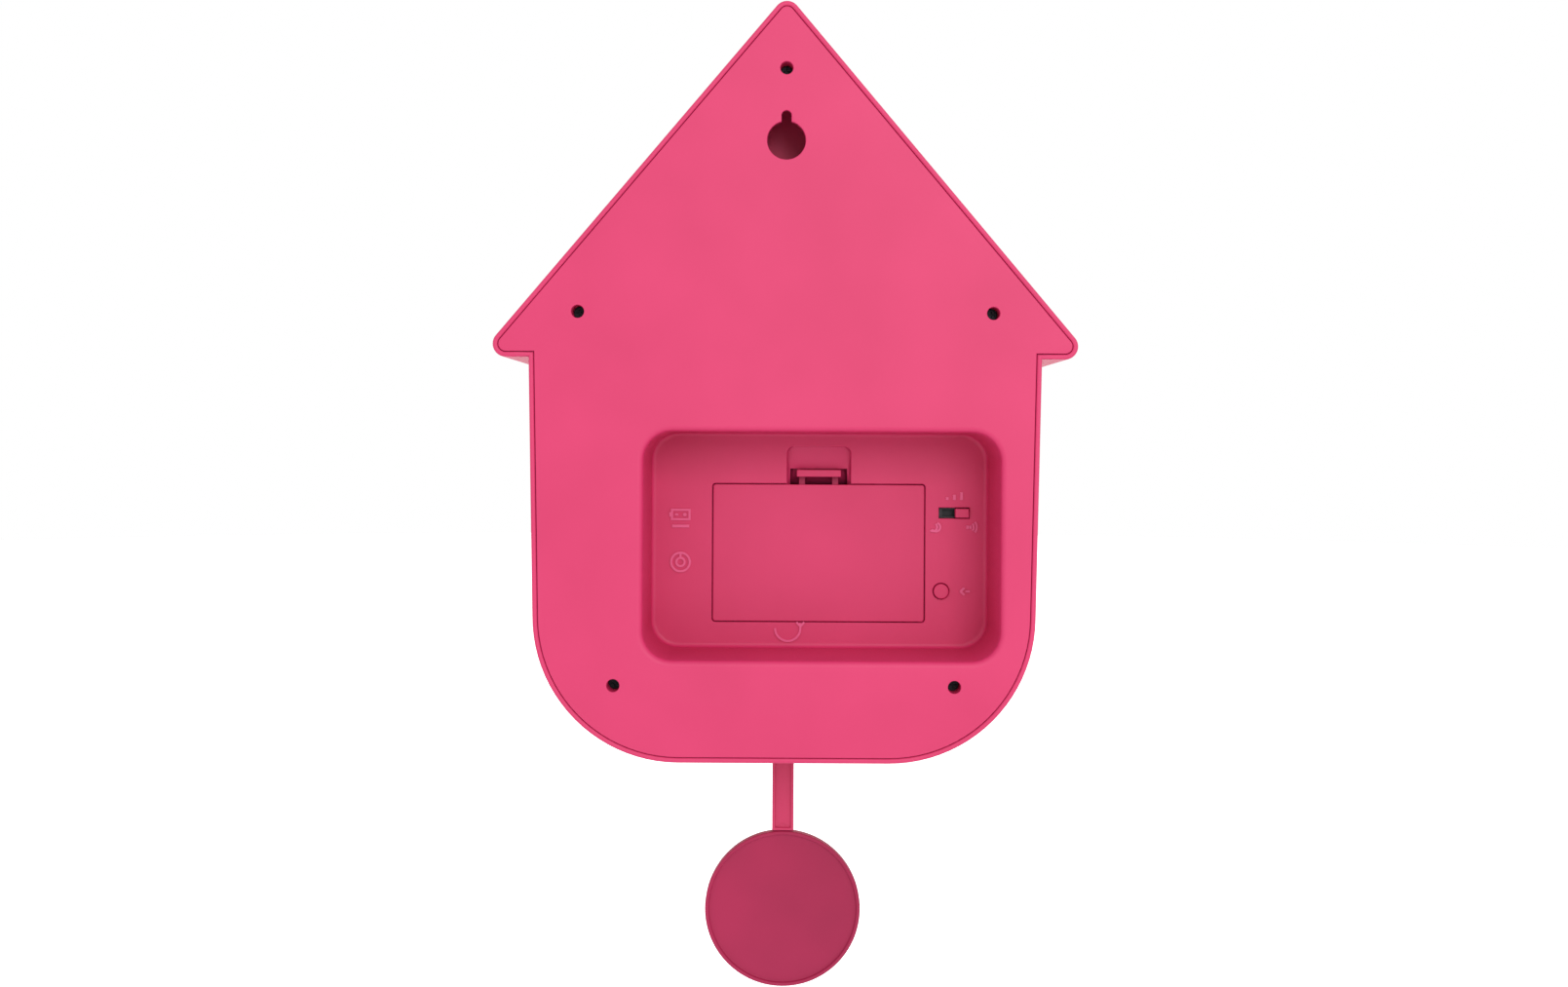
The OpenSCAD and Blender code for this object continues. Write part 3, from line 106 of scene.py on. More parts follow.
class Graph:
    """The node graph of one material, built node by node."""

    def __init__(self, name: str) -> None:
        """Starts an empty material.

        Args:
            name: Name of the material.
        """
        self.material = bpy.data.materials.new(name)
        self.material.use_nodes = True
        self.tree = self.material.node_tree
        self.tree.nodes.clear()
        self.coords = self.add("ShaderNodeTexCoord").outputs["Object"]

    def add(
        self,
        kind: str,
        inputs: dict[Any, Any] | None = None,
        **settings: Any,
    ) -> bpy.types.Node:
        """Adds a node with its settings and links.

        Args:
            kind: Type name of the node.
            inputs: Values or output sockets by input name or number.
            **settings: Properties set on the node itself.

        Returns:
            The new node.
        """
        node = self.tree.nodes.new(kind)
        for key, value in settings.items():
            setattr(node, key, value)
        for key, value in (inputs or {}).items():
            if isinstance(value, bpy.types.NodeSocket):
                self.tree.links.new(value, node.inputs[key])
            else:
                node.inputs[key].default_value = value
        return node

    def spread(self, value: bpy.types.NodeSocket, low: float, high: float) -> bpy.types.NodeSocket:
        """Maps a 0.3 to 0.7 pattern, as noise gives, on to a range.

        Args:
            value: Socket of the pattern.
            low: Result at the pattern's low end.
            high: Result at the pattern's high end.

        Returns:
            Socket of the result.
        """
        inputs = {"Value": value, "From Min": 0.3, "From Max": 0.7, "To Min": low, "To Max": high}
        return self.add("ShaderNodeMapRange", inputs).outputs["Result"]

    def blend(
        self, share: Any, one: Any, other: Any, mode: str = "MIX"
    ) -> bpy.types.NodeSocket:
        """Mixes two colours.

        Args:
            share: Share of the second colour, a number or a socket.
            one: First colour or socket.
            other: Second colour or socket.
            mode: Blend type.

        Returns:
            Socket of the mixed colour.
        """
        inputs = {0: share, 6: one, 7: other}
        node = self.add("ShaderNodeMix", inputs, data_type="RGBA", blend_type=mode)
        return node.outputs[2]

    def finish(self, shader: dict[str, Any]) -> bpy.types.Material:
        """Adds the surface shader and the output.

        Args:
            shader: Values and sockets of the shader's inputs.

        Returns:
            The finished material.
        """
        surface = self.add("ShaderNodeBsdfPrincipled", shader)
        self.add("ShaderNodeOutputMaterial", {"Surface": surface.outputs["BSDF"]})
        return self.material


@dataclass(frozen=True)
class MouldedPlastic:
    """Injection-moulded plastic, satin from a finely spark-eroded mould.

    Attributes:
        name: Name of the finish.
        colour: Colour as moulded.
        shade: Colour of the slightly duller flow patches.
        roughness: Roughness of the surface.
        grain_mm: Grain of the spark-eroded texture.
        relief_mm: Depth of that grain.
        flow_mm: Size of the soft flow patches.
        ior: Refractive index of the plastic.
        gloss: Specular level, low on a matt-eroded surface.
    """

    name: str
    colour: str
    shade: str
    roughness: float = 0.42
    grain_mm: float = 0.35
    relief_mm: float = 0.012
    flow_mm: float = 38.0
    ior: float = 1.53
    gloss: float = 0.3

    def make(self) -> bpy.types.Material:
        """Returns the material: flow patches in the colour, grain in gloss and relief."""
        g = Graph(self.name)
        flow = g.add(
            "ShaderNodeTexNoise",
            {"Vector": g.coords, "Scale": per_metre(self.flow_mm), "Detail": 2.0},
        ).outputs[0]
        grain = g.add(
            "ShaderNodeTexNoise",
            {"Vector": g.coords, "Scale": per_metre(self.grain_mm), "Detail": 3.0},
        ).outputs[0]
        speck = g.add(
            "ShaderNodeTexVoronoi",
            {"Vector": g.coords, "Scale": per_metre(self.grain_mm * 1.7)},
        ).outputs["Distance"]
        share = g.spread(flow, 0.0, 1.0)
        colour = g.blend(share, linear(self.colour), linear(self.shade))
        height = g.add(
            "ShaderNodeMath", {0: grain, 1: speck}, operation="MULTIPLY"
        ).outputs[0]
        bump = g.add(
            "ShaderNodeBump",
            {"Height": height, "Strength": 0.6, "Distance": self.relief_mm * MM},
        ).outputs["Normal"]
        return g.finish(
            {
                "Base Color": colour,
                "Roughness": g.spread(grain, self.roughness - 0.04, self.roughness + 0.05),
                "IOR": self.ior,
                "Specular IOR Level": self.gloss,
                "Normal": bump,
            }
        )


@dataclass(frozen=True)
class DrawnMetal:
    """Bare or plated metal with the fine lines of drawing, rolling or turning.

    Attributes:
        name: Name of the finish.
        colour: Colour of the metal.
        shade: Colour in the lines.
        roughness: Roughness between the lines.
        line_mm: Distance between the lines.
        stretch: Coordinates' scale along each axis, small along the lines.
    """

    name: str
    colour: str
    shade: str
    roughness: float = 0.3
    line_mm: float = 0.18
    stretch: tuple[float, float, float] = (1.0, 0.06, 1.0)

    def make(self) -> bpy.types.Material:
        """Returns the material: stretched noise drives colour, gloss and relief."""
        g = Graph(self.name)
        turned = g.add("ShaderNodeMapping", {"Vector": g.coords, "Scale": self.stretch}).outputs[0]
        lines = g.add(
            "ShaderNodeTexNoise",
            {"Vector": turned, "Scale": per_metre(self.line_mm), "Detail": 4.0},
        ).outputs[0]
        colour = g.blend(g.spread(lines, 0.0, 1.0), linear(self.colour), linear(self.shade))
        bump = g.add(
            "ShaderNodeBump", {"Height": lines, "Strength": 0.5, "Distance": 0.01 * MM}
        ).outputs["Normal"]
        return g.finish(
            {
                "Base Color": colour,
                "Metallic": 1.0,
                "Roughness": g.spread(lines, self.roughness - 0.06, self.roughness + 0.1),
                "Normal": bump,
            }
        )


@dataclass(frozen=True)
class WoundWire:
    """Enamelled copper wire wound in tight turns.

    Attributes:
        name: Name of the finish.
        colour: Colour on the crown of a turn.
        shade: Colour between turns.
        pitch_mm: Distance between turns, coarser than real so that it shows.
        along: Axis that the winding advances along.
    """

    name: str
    colour: str
    shade: str
    pitch_mm: float
    along: str = "X"

    def make(self) -> bpy.types.Material:
        """Returns the material: bands across the winding's axis."""
        g = Graph(self.name)
        bands = g.add(
            "ShaderNodeTexWave",
            {"Vector": g.coords, "Scale": per_metre(self.pitch_mm) / math.tau, "Distortion": 0.4},
            wave_type="BANDS",
            bands_direction=self.along,
        ).outputs["Fac"]
        colour = g.blend(bands, linear(self.shade), linear(self.colour))
        bump = g.add(
            "ShaderNodeBump", {"Height": bands, "Strength": 0.8, "Distance": 0.05 * MM}
        ).outputs["Normal"]
        shader = {"Base Color": colour, "Metallic": 0.9, "Roughness": 0.32, "Normal": bump}
        return g.finish(shader)


@dataclass(frozen=True)
class EtchedBoard:
    """Glass-epoxy board under green solder mask with the tracks showing through.

    Attributes:
        name: Name of the finish.
        colour: Mask over bare board.
        track: Mask over copper.
        pitch_mm: Distance between tracks.
    """

    name: str
    colour: str
    track: str
    pitch_mm: float = 2.6

    def make(self) -> bpy.types.Material:
        """Returns the material: stepped cells stand for tracks and pads."""
        g = Graph(self.name)
        cells = g.add(
            "ShaderNodeTexVoronoi",
            {"Vector": g.coords, "Scale": per_metre(self.pitch_mm)},
            distance="MANHATTAN",
            feature="DISTANCE_TO_EDGE",
        ).outputs["Distance"]
        track = g.add(
            "ShaderNodeMath", {0: cells, 1: 0.11}, operation="GREATER_THAN"
        ).outputs[0]
        colour = g.blend(track, linear(self.colour), linear(self.track))
        bump = g.add(
            "ShaderNodeBump", {"Height": track, "Strength": 0.4, "Distance": 0.035 * MM}
        ).outputs["Normal"]
        shader = {"Base Color": colour, "Roughness": 0.28, "IOR": 1.5, "Normal": bump}
        return g.finish(shader)


@dataclass(frozen=True)
class CellJacket:
    """Shrink-film jacket of an AA cell: a dark barrel with a coppery end band.

    Attributes:
        name: Name of the finish.
        barrel: Colour of the barrel.
        band: Colour of the end band.
        edge_mm: Place of the band's edge along X.
    """

    name: str
    barrel: str
    band: str
    edge_mm: float

    def make(self) -> bpy.types.Material:
        """Returns the material: a band past one place along the cell."""
        g = Graph(self.name)
        x = g.add("ShaderNodeSeparateXYZ", {0: g.coords}).outputs[0]
        past = g.add(
            "ShaderNodeMath", {0: x, 1: self.edge_mm * MM}, operation="GREATER_THAN"
        ).outputs[0]
        film = g.add(
            "ShaderNodeTexNoise", {"Vector": g.coords, "Scale": per_metre(4.0)}
        ).outputs[0]
        colour = g.blend(past, linear(self.barrel), linear(self.band))
        return g.finish(
            {
                "Base Color": colour,
                "Metallic": 0.35,
                "Roughness": g.spread(film, 0.22, 0.34),
                "Coat Weight": 0.4,
            }
        )


@dataclass(frozen=True)
class FibrousSheet:
    """Pressed fibre, printed card or sintered grit: matt, with a visible grain.

    Attributes:
        name: Name of the finish.
        colour: Colour of the sheet.
        shade: Colour of the fibres or grit.
        fibre_mm: Size of the fibres or grit.
        relief_mm: Depth of the grain.
        roughness: Roughness of the surface.
    """

    name: str
    colour: str
    shade: str
    fibre_mm: float
    relief_mm: float
    roughness: float = 0.8

    def make(self) -> bpy.types.Material:
        """Returns the material: warped noise for fibres in colour and relief."""
        g = Graph(self.name)
        fibres = g.add(
            "ShaderNodeTexNoise",
            {
                "Vector": g.coords,
                "Scale": per_metre(self.fibre_mm),
                "Detail": 5.0,
                "Distortion": 1.6,
            },
        ).outputs[0]
        colour = g.blend(g.spread(fibres, 0.0, 1.0), linear(self.colour), linear(self.shade))
        bump = g.add(
            "ShaderNodeBump",
            {"Height": fibres, "Strength": 0.7, "Distance": self.relief_mm * MM},
        ).outputs["Normal"]
        shader = {"Base Color": colour, "Roughness": self.roughness, "IOR": 1.5, "Normal": bump}
        return g.finish(shader)


@dataclass(frozen=True)
class PaintedFeathers:
    """Sprayed plastic with moulded rows of small feathers.

    Attributes:
        name: Name of the finish.
        colour: Colour of the paint.
        shade: Colour between the feathers.
        feather_mm: Size of one feather.
        roughness: Roughness of the paint.
    """

    name: str
    colour: str
    shade: str
    feather_mm: float = 2.6
    roughness: float = 0.38

    def make(self) -> bpy.types.Material:
        """Returns the material: cells, longer from head to tail, for the feathers."""
        g = Graph(self.name)
        long = g.add(
            "ShaderNodeMapping", {"Vector": g.coords, "Scale": (1.0, 0.55, 1.0)}
        ).outputs[0]
        cells = g.add(
            "ShaderNodeTexVoronoi",
            {"Vector": long, "Scale": per_metre(self.feather_mm), "Randomness": 0.55},
            feature="SMOOTH_F1",
        ).outputs["Distance"]
        share = g.add(
            "ShaderNodeMapRange", {"Value": cells, "From Min": 0.35, "From Max": 0.75}
        ).outputs["Result"]
        colour = g.blend(share, linear(self.colour), linear(self.shade))
        bump = g.add(
            "ShaderNodeBump",
            {"Height": cells, "Strength": 0.6, "Distance": 0.18 * MM},
            invert=True,
        ).outputs["Normal"]
        return g.finish(
            {
                "Base Color": colour,
                "Roughness": self.roughness,
                "IOR": 1.5,
                "Coat Weight": 0.2,
                "Normal": bump,
            }
        )


class Finish(Enum):
    """Every finish on the clock, with the record's slot that it belongs to."""

    # ABS from a fine spark-eroded mould: even pink with a soft, wide sheen
    SHELL = ("shell_pink", MouldedPlastic("moulded_pink_abs", "#C62D60", "#C0295B", 0.5))
    # the same ABS a tone paler as painted highlight on the marks' lit tops, and glossier as from a
    # polished engraving
    MARK = ("shell_pink", MouldedPlastic("mark_face_painted_highlight", "#D65584", "#D04D7D", 0.36))
    # the same ABS a tone deeper: the trim's own tone on doors, surround and bezel, and on the pendulum
    # bar painted shade for its place deep behind the case
    TRIM = ("trim_pink", MouldedPlastic("deep_pink_abs_and_painted_shade", "#BA2A58", "#B32753", 0.5))
    # the bob sits a tone deeper again: painted shade, for the darker look of the disc hanging deep
    # behind the case and tilted away from the light
    BOB = (
        "trim_pink",
        MouldedPlastic("bob_pink_abs_painted_shade", "#9C1D47", "#8E1940", 0.52, gloss=0.2),
    )
    # printed dial sheet: matt cream with a little paper fibre
    DIAL = ("dial_cream", FibrousSheet("printed_dial_card", "#F6EFE2", "#F1E8D8", 0.5, 0.006, 0.6))
    # dial ink: dense, slightly glossy black
    INK = (
        "hand_black",
        MouldedPlastic("screen_printed_ink", "#241F22", "#2C262A", 0.35, 0.2, 0.003),
    )
    # zinc plate over drawn steel: cool grey with fine lines
    STEEL = ("screw_steel", DrawnMetal("zinc_plated_steel", "#B9BDC2", "#9DA2A8"))
    # near-black steel with a faint sheen: painted shade, darkening the case screws to stand for the
    # shade down in their deep holes
    BLACK_STEEL = ("screw_steel", DrawnMetal("dark_steel_painted_hole_shade", "#2A2A2D", "#1C1C1F", 0.45))
    # nickelled spring strip, brighter than zinc
    SPRING = ("screw_steel", DrawnMetal("nickelled_spring_steel", "#CDCBC4", "#AFADA6", 0.22))
    # turned brass: warm, with rings from the lathe tool
    BRASS = ("hand_brass", DrawnMetal("turned_brass", "#C8A45A", "#B08C45", 0.25, 0.12, (1, 1, 1)))
    # black lacquer on stamped sheet: smooth and faintly glossy
    LACQUER = (
        "hand_black",
        MouldedPlastic("black_lacquered_sheet", "#1E1D20", "#252428", 0.3, 0.5, 0.004),
    )
    # black ABS of the movement case
    BLACK = ("black_plastic", MouldedPlastic("moulded_black_abs", "#2B2B30", "#232327", 0.5))
    # natural acetal: milky white, a little waxy
    ACETAL = ("gear_nylon", MouldedPlastic("natural_acetal", "#EDEDE6", "#E2E1D8", 0.34, 0.6, 0.006))
    BOARD = ("board_green", EtchedBoard("green_solder_mask", "#1F5A38", "#2E7A4C"))
    # enamelled copper: one winding advances along X, the other along Y
    COIL_X = ("coil_copper", WoundWire("enamelled_copper_wire", "#B8723E", "#6E3A18", 0.35))
    COIL_Y = ("coil_copper", WoundWire("enamelled_copper_coil", "#B8723E", "#6E3A18", 0.35, "Y"))
    # sintered ferrite: dark, dry and gritty
    FERRITE = (
        "magnet_ferrite",
        FibrousSheet("sintered_ferrite", "#3B3B3F", "#2C2C30", 0.4, 0.02, 0.62),
    )
    # pressed paper cone: felted black fibres
    CONE = (
        "speaker_paper",
        FibrousSheet("pressed_paper_cone", "#3A3836", "#2A2826", 0.7, 0.05, 0.9),
    )
    CELLS = ("cell_jacket", CellJacket("cell_jacket_film", "#24252A", "#B5793A", -12.0))
    # soft insulation of the leads: red, dull
    LEADS = ("lead_insulation", MouldedPlastic("soft_red_insulation", "#C33A3A", "#B43232", 0.55, 0.8))
    # smoked clear plastic over the light sensor: dark and glossy
    LENS = ("sensor_lens", MouldedPlastic("smoked_acrylic", "#2A1A20", "#22151A", 0.08, 2.0, 0.001))
    BIRD = ("bird_yellow", PaintedFeathers("painted_yellow_feathers", "#F2BC3C", "#D99A22"))
    WING = ("bird_wing", PaintedFeathers("painted_red_feathers", "#C33A3A", "#962626", 3.4))
    # glossy enamel on beak: smooth orange
    BEAK = ("bird_orange", MouldedPlastic("orange_enamel", "#E0702C", "#D26424", 0.2, 1.5, 0.003))
    # glossy black enamel dots for the eyes
    EYE = ("hand_black", MouldedPlastic("black_enamel_dot", "#0E0D0F", "#151316", 0.06, 1.5, 0.001))

    @property
    def slot(self) -> str:
        """Returns the record's material slot of the finish."""
        return self.value[0]

    def material(self) -> bpy.types.Material:
        """Returns the finish's material, made on its first use."""
        recipe = self.value[1]
        return bpy.data.materials.get(recipe.name) or recipe.make()


# ---------------------------------------------------------------- making pieces


@dataclass(frozen=True)
class EdgeRound:
    """A set of edges that is rounded over.

    Attributes:
        radius: Radius of the rounding, in mm.
        steps: Number of strips around it.
        picks: Test of an edge's middle point, in mm.
    """

    radius: float
    steps: int
    picks: Callable[[Vector], bool]


def everywhere(_: Vector) -> bool:
    """Picks every edge."""
    return True


def at_depth(depth: float, near: float = 0.03) -> Callable[[Vector], bool]:
    """Returns a test that picks edges lying at a depth behind the wall plane, in mm."""
    return lambda p: abs(p.y + depth) < near


def dress(finish: Finish, *nodes: str) -> None:
    """Gives nodes of the frame their finish.

    Args:
        finish: Finish for all of their surface.
        *nodes: Names of the nodes.
    """
    for node in nodes:
        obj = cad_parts[node]
        if not obj.material_slots:
            obj.data.materials.append(finish.material())
        for holder in obj.material_slots:
            holder.material = finish.material()
        log.info("node %s: %s", node, finish.material().name)


def round_edges(bm: bmesh.types.BMesh, rounds: Sequence[EdgeRound]) -> None:
    """Rounds sets of edges, each with its own radius.

    Args:
        bm: Closed mesh to work on.
        rounds: Sets of edges, the widest radius first.
    """
    turned = [e for e in bm.edges if len(e.link_faces) == 2 and e.calc_face_angle(0) > ROUND_ANGLE]
    sets: list[list[bmesh.types.BMEdge]] = []
    taken: set[bmesh.types.BMEdge] = set()
    for r in rounds:
        picked = [
            e
            for e in turned
            if e not in taken and r.picks((e.verts[0].co + e.verts[1].co) / 2 / MM)
        ]
        taken.update(picked)
        sets.append(picked)
    for r, picked in zip(rounds, sets):
        edges = [e for e in picked if e.is_valid]
        if edges:
            bmesh.ops.bevel(
                bm,
                geom=edges,
                offset=r.radius * MM,
                offset_type="OFFSET",
                affect="EDGES",
                segments=r.steps,
                profile=0.5,
                material=-1,
                clamp_overlap=False,
                loop_slide=False,
            )


def refill_flats(bm: bmesh.types.BMesh) -> None:
    """Fills each flat stretch that faces the wall or the room anew, holes left open.

    Joined flat faces that go round holes leave slits, and rounding pulls them apart.

    Args:
        bm: Closed mesh to work on.
    """
    level: dict[bmesh.types.BMFace, int] = {
        f: round(f.calc_center_median().y / MM * LEVELS_PER_MM)
        for f in bm.faces
        if abs(f.normal.y) > FACING_Y
    }
    seen: set[bmesh.types.BMFace] = set()
    groups: list[list[bmesh.types.BMFace]] = []
    for start, height in level.items():
        if start in seen:
            continue
        seen.add(start)
        group, queue = [], [start]
        while queue:
            face = queue.pop()
            group.append(face)
            for near in (f for e in face.edges for f in e.link_faces):
                if near in seen or near not in level:
                    continue
                if abs(level[near] - height) < LEVEL_APART:
                    seen.add(near)
                    queue.append(near)
        if len(group) > 1 or len(start.verts) > 4:
            groups.append(group)
    for group in groups:
        inside = set(group)
        side = math.copysign(1, sum(f.normal.y * f.calc_area() for f in group))
        edges = dict.fromkeys(e for f in group for e in f.edges)
        rim = [e for e in edges if sum(f in inside for f in e.link_faces) == 1]
        bmesh.ops.delete(bm, geom=group, context="FACES_KEEP_BOUNDARY")
        bmesh.ops.triangle_fill(
            bm,
            edges=[e for e in rim if e.is_valid],
            use_beauty=True,
            use_dissolve=False,
            normal=(0, side, 0),
        )
    bmesh.ops.recalc_face_normals(bm, faces=bm.faces)


def piece(
    bm: bmesh.types.BMesh,
    name: str,
    finish: Finish,
    body: str,
    nodes: Sequence[str] = (),
) -> bpy.types.Object:
    """Turns a mesh into a finished piece that rides on a body.

    Args:
        bm: Mesh with its place in its points. It is freed.
        name: Name of the piece.
        finish: Finish for all of its surface.
        body: Body that it moves with.
        nodes: Nodes of the frame that it stands for.

    Returns:
        The new object.
    """
    mesh = bpy.data.meshes.new(name)
    bm.to_mesh(mesh)
    bm.free()
    mesh.shade_smooth()
    mesh.set_sharp_from_angle(angle=SHARP_ANGLE)
    obj = bpy.data.objects.new(name, mesh)
    bpy.context.scene.collection.objects.link(obj)
    mesh.materials.append(finish.material())
    normals = obj.modifiers.new("flat_faces_stay_flat", "WEIGHTED_NORMAL")
    normals.keep_sharp = True
    normals.weight = NORMAL_WEIGHT
    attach(obj, body)
    if nodes:
        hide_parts(*nodes)
    log.info("piece %s: %d faces on %s", name, len(mesh.polygons), body)
    return obj


def merged_copy(node: str) -> bmesh.types.BMesh:
    """Copies a node's shape into one connected mesh with flat faces joined.

    Args:
        node: Name of the node.

    Returns:
        The copy, which the caller finishes or frees.
    """
    bm = bmesh.new()
    bm.from_mesh(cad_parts[node].data)
    bmesh.ops.remove_doubles(bm, verts=bm.verts, dist=MERGE_DISTANCE)
    bmesh.ops.dissolve_degenerate(bm, edges=bm.edges, dist=MERGE_DISTANCE)
    bmesh.ops.dissolve_limit(bm, angle_limit=FLAT_ANGLE, verts=bm.verts, edges=bm.edges)
    return bm


def softened(
    node: str, name: str, finish: Finish, body: str, rounds: Sequence[EdgeRound]
) -> bpy.types.Object:
    """Makes a piece with a node's shape and rounded edges, in the node's place.

    Args:
        node: Name of the node.
        name: Name of the piece.
        finish: Finish for all of its surface.
        body: Body that it moves with.
        rounds: Sets of edges to round.

    Returns:
        The new object.
    """
    bm = merged_copy(node)
    round_edges(bm, rounds)
    refill_flats(bm)
    return piece(bm, name, finish, body, (node,))


class Relief:
    """Fine raised marks on a flat face that looks at the wall or at the room."""

    def __init__(self, depth: float, height: float) -> None:
        """Starts an empty set of marks.

        Args:
            depth: Depth of the face behind the wall plane, in mm.
            height: Height of the marks, in mm, positive towards the wall.
        """
        self.bm = bmesh.new()
        self.low = -depth - math.copysign(MARK_SUNK, height)
        self.high = -depth + height
        self.step = math.copysign(MARK_STEP, height)

    def bar(self, x: float, z: float, wide: float, high: float, turn: float = 0.0) -> None:
        """Adds a straight mark.

        Args:
            x: Middle, sideways, in mm.
            z: Middle, upwards, in mm.
            wide: Size along X, in mm.
            high: Size along Z, in mm.
            turn: Turn about Y, in degrees.
        """
        self.high += self.step  # crossing marks must not share a face
        size = Vector((wide, abs(self.high - self.low), high)) * MM
        place = Vector((x, (self.high + self.low) / 2, z)) * MM
        matrix = (
            Matrix.Translation(place)
            @ Matrix.Rotation(math.radians(turn), 4, "Y")
            @ Matrix.Diagonal(size.to_4d())
        )
        bmesh.ops.create_cube(self.bm, size=1.0, matrix=matrix)

    def arc(
        self, x: float, z: float, radius: float, wide: float, start: float, sweep: float
    ) -> None:
        """Adds a curved mark.

        Args:
            x: Centre, sideways, in mm.
            z: Centre, upwards, in mm.
            radius: Radius of the mark's middle line, in mm.
            wide: Width of the line, in mm.
            start: Angle of its start from +X towards +Z, in degrees.
            sweep: Angle that it covers, in degrees.
        """
        self.high += self.step
        closed = abs(sweep) >= 360
        steps = int(abs(sweep) * max(0.1, radius * 0.012))
        section = ((-1, self.low), (1, self.low), (1, self.high), (-1, self.high))
        rings = []
        for k in range(steps if closed else steps + 1):
            a = math.radians(start + sweep * k / steps)
            reach = [(radius + s * wide / 2, y) for s, y in section]
            points = [(x + r * math.cos(a), y, z + r * math.sin(a)) for r, y in reach]
            rings.append([self.bm.verts.new(Vector(p) * MM) for p in points])
        if closed:
            rings.append(rings[0])
        else:
            self.bm.faces.new(rings[0])
            self.bm.faces.new(rings[-1])
        for one, other in zip(rings, rings[1:]):
            for m in range(4):
                n = (m + 1) % 4
                self.bm.faces.new((one[m], one[n], other[n], other[m]))

    def finish(self, name: str, finish: Finish, body: str) -> bpy.types.Object:
        """Turns the marks into one piece.

        Args:
            name: Name of the piece.
            finish: Finish of the marks.
            body: Body that they move with.

        Returns:
            The new object.
        """
        bmesh.ops.recalc_face_normals(self.bm, faces=self.bm.faces)
        return piece(self.bm, name, finish, body)


# ---------------------------------------------------------------- sub-assemblies


@dataclass
class Case:
    """The two house-shaped mouldings: deep front shell and flat back cover.

    Attributes:
        depth: Depth of the case.
        front_radius: Rounding of the front outline.
        rim_radius: Rounding of the rim that stands on the wall.
        pocket_depth: Depth of the rear pocket.
        pocket_rim: Rounding of the pocket's mouth.
        pocket_foot: Rounding where the pocket's walls meet its floor.
        pocket_centre: Centre of the pocket.
        pocket_size: Width and height of the pocket's mouth.
        hole_radius: Rounding of small holes.
        floor_edge: Rounding of the openings in the pocket's floor.
        gate_half: Half width of the doorway.
        speaker_centre: Centre of the sound holes.
        speaker_reach: Radius that holds all sound holes.
    """

    depth: float = 78.0
    front_radius: float = 2.6
    rim_radius: float = 0.7
    pocket_depth: float = 36.0
    pocket_rim: float = 2.0
    pocket_foot: float = 1.6
    pocket_centre: tuple[float, float] = (-12.8, -138.7)
    pocket_size: tuple[float, float] = (122.4, 78.4)
    hole_radius: float = 0.3
    floor_edge: float = 0.35
    gate_half: float = 14.4
    speaker_centre: tuple[float, float] = (-46.0, -50.0)
    speaker_reach: float = 12.0

    def in_front_hole(self, p: Vector) -> bool:
        """Says whether a point belongs to a hole in the front wall.

        Args:
            p: Point, in mm.

        Returns:
            True for the doorway, the bush and sensor holes and the sound holes.
        """
        beside = math.hypot(p.x - self.speaker_centre[0], p.z - self.speaker_centre[1])
        return beside < self.speaker_reach or (abs(p.x) < self.gate_half and -150 < p.z < -17)

    def on_pocket(self, p: Vector) -> bool:
        """Says whether a point lies on the outline of the pocket.

        Args:
            p: Point, in mm.

        Returns:
            True within 0.1 mm of the outline's straight or curved stretches.
        """
        half_w, half_h, r = self.pocket_size[0] / 2, self.pocket_size[1] / 2, 10.0
        dx = abs(p.x - self.pocket_centre[0]) - (half_w - r)
        dz = abs(p.z - self.pocket_centre[1]) - (half_h - r)
        reach = math.hypot(max(dx, 0), max(dz, 0)) + min(max(dx, dz), 0)
        return abs(reach - r) < 0.1

    def shell(self) -> None:
        """Makes the front shell with a soft front outline and a fine rim."""
        front = at_depth(self.depth)
        rear = at_depth(0.0)
        softened(
            "front_shell",
            "shell_moulding",
            Finish.SHELL,
            "case",
            [
                EdgeRound(self.front_radius, 5, lambda p: front(p) and not self.in_front_hole(p)),
                EdgeRound(self.rim_radius, 3, lambda p: rear(p)),
            ],
        )

    def cover(self) -> None:
        """Makes the back cover with its softly rounded pocket and eased holes."""
        face = at_depth(0.0)
        floor = at_depth(self.pocket_depth)
        softened(
            "back_cover",
            "back_cover_moulding",
            Finish.SHELL,
            "case",
            [
                EdgeRound(self.pocket_rim, 5, lambda p: face(p) and self.on_pocket(p)),
                EdgeRound(self.pocket_foot, 4, lambda p: floor(p) and self.on_pocket(p)),
                EdgeRound(self.floor_edge, 3, lambda p: floor(p) and not self.on_pocket(p)),
                EdgeRound(self.hole_radius, 2, lambda p: face(p) and not self.on_pocket(p)),
            ],
        )

    def build(self) -> None:
        """Builds both mouldings and finishes the screws between them."""
        self.shell()
        self.cover()
        # the case screws are near black as painted shade of their deep holes
        dress(Finish.BLACK_STEEL, "case_screws")
        dress(Finish.STEEL, "inner_screws")


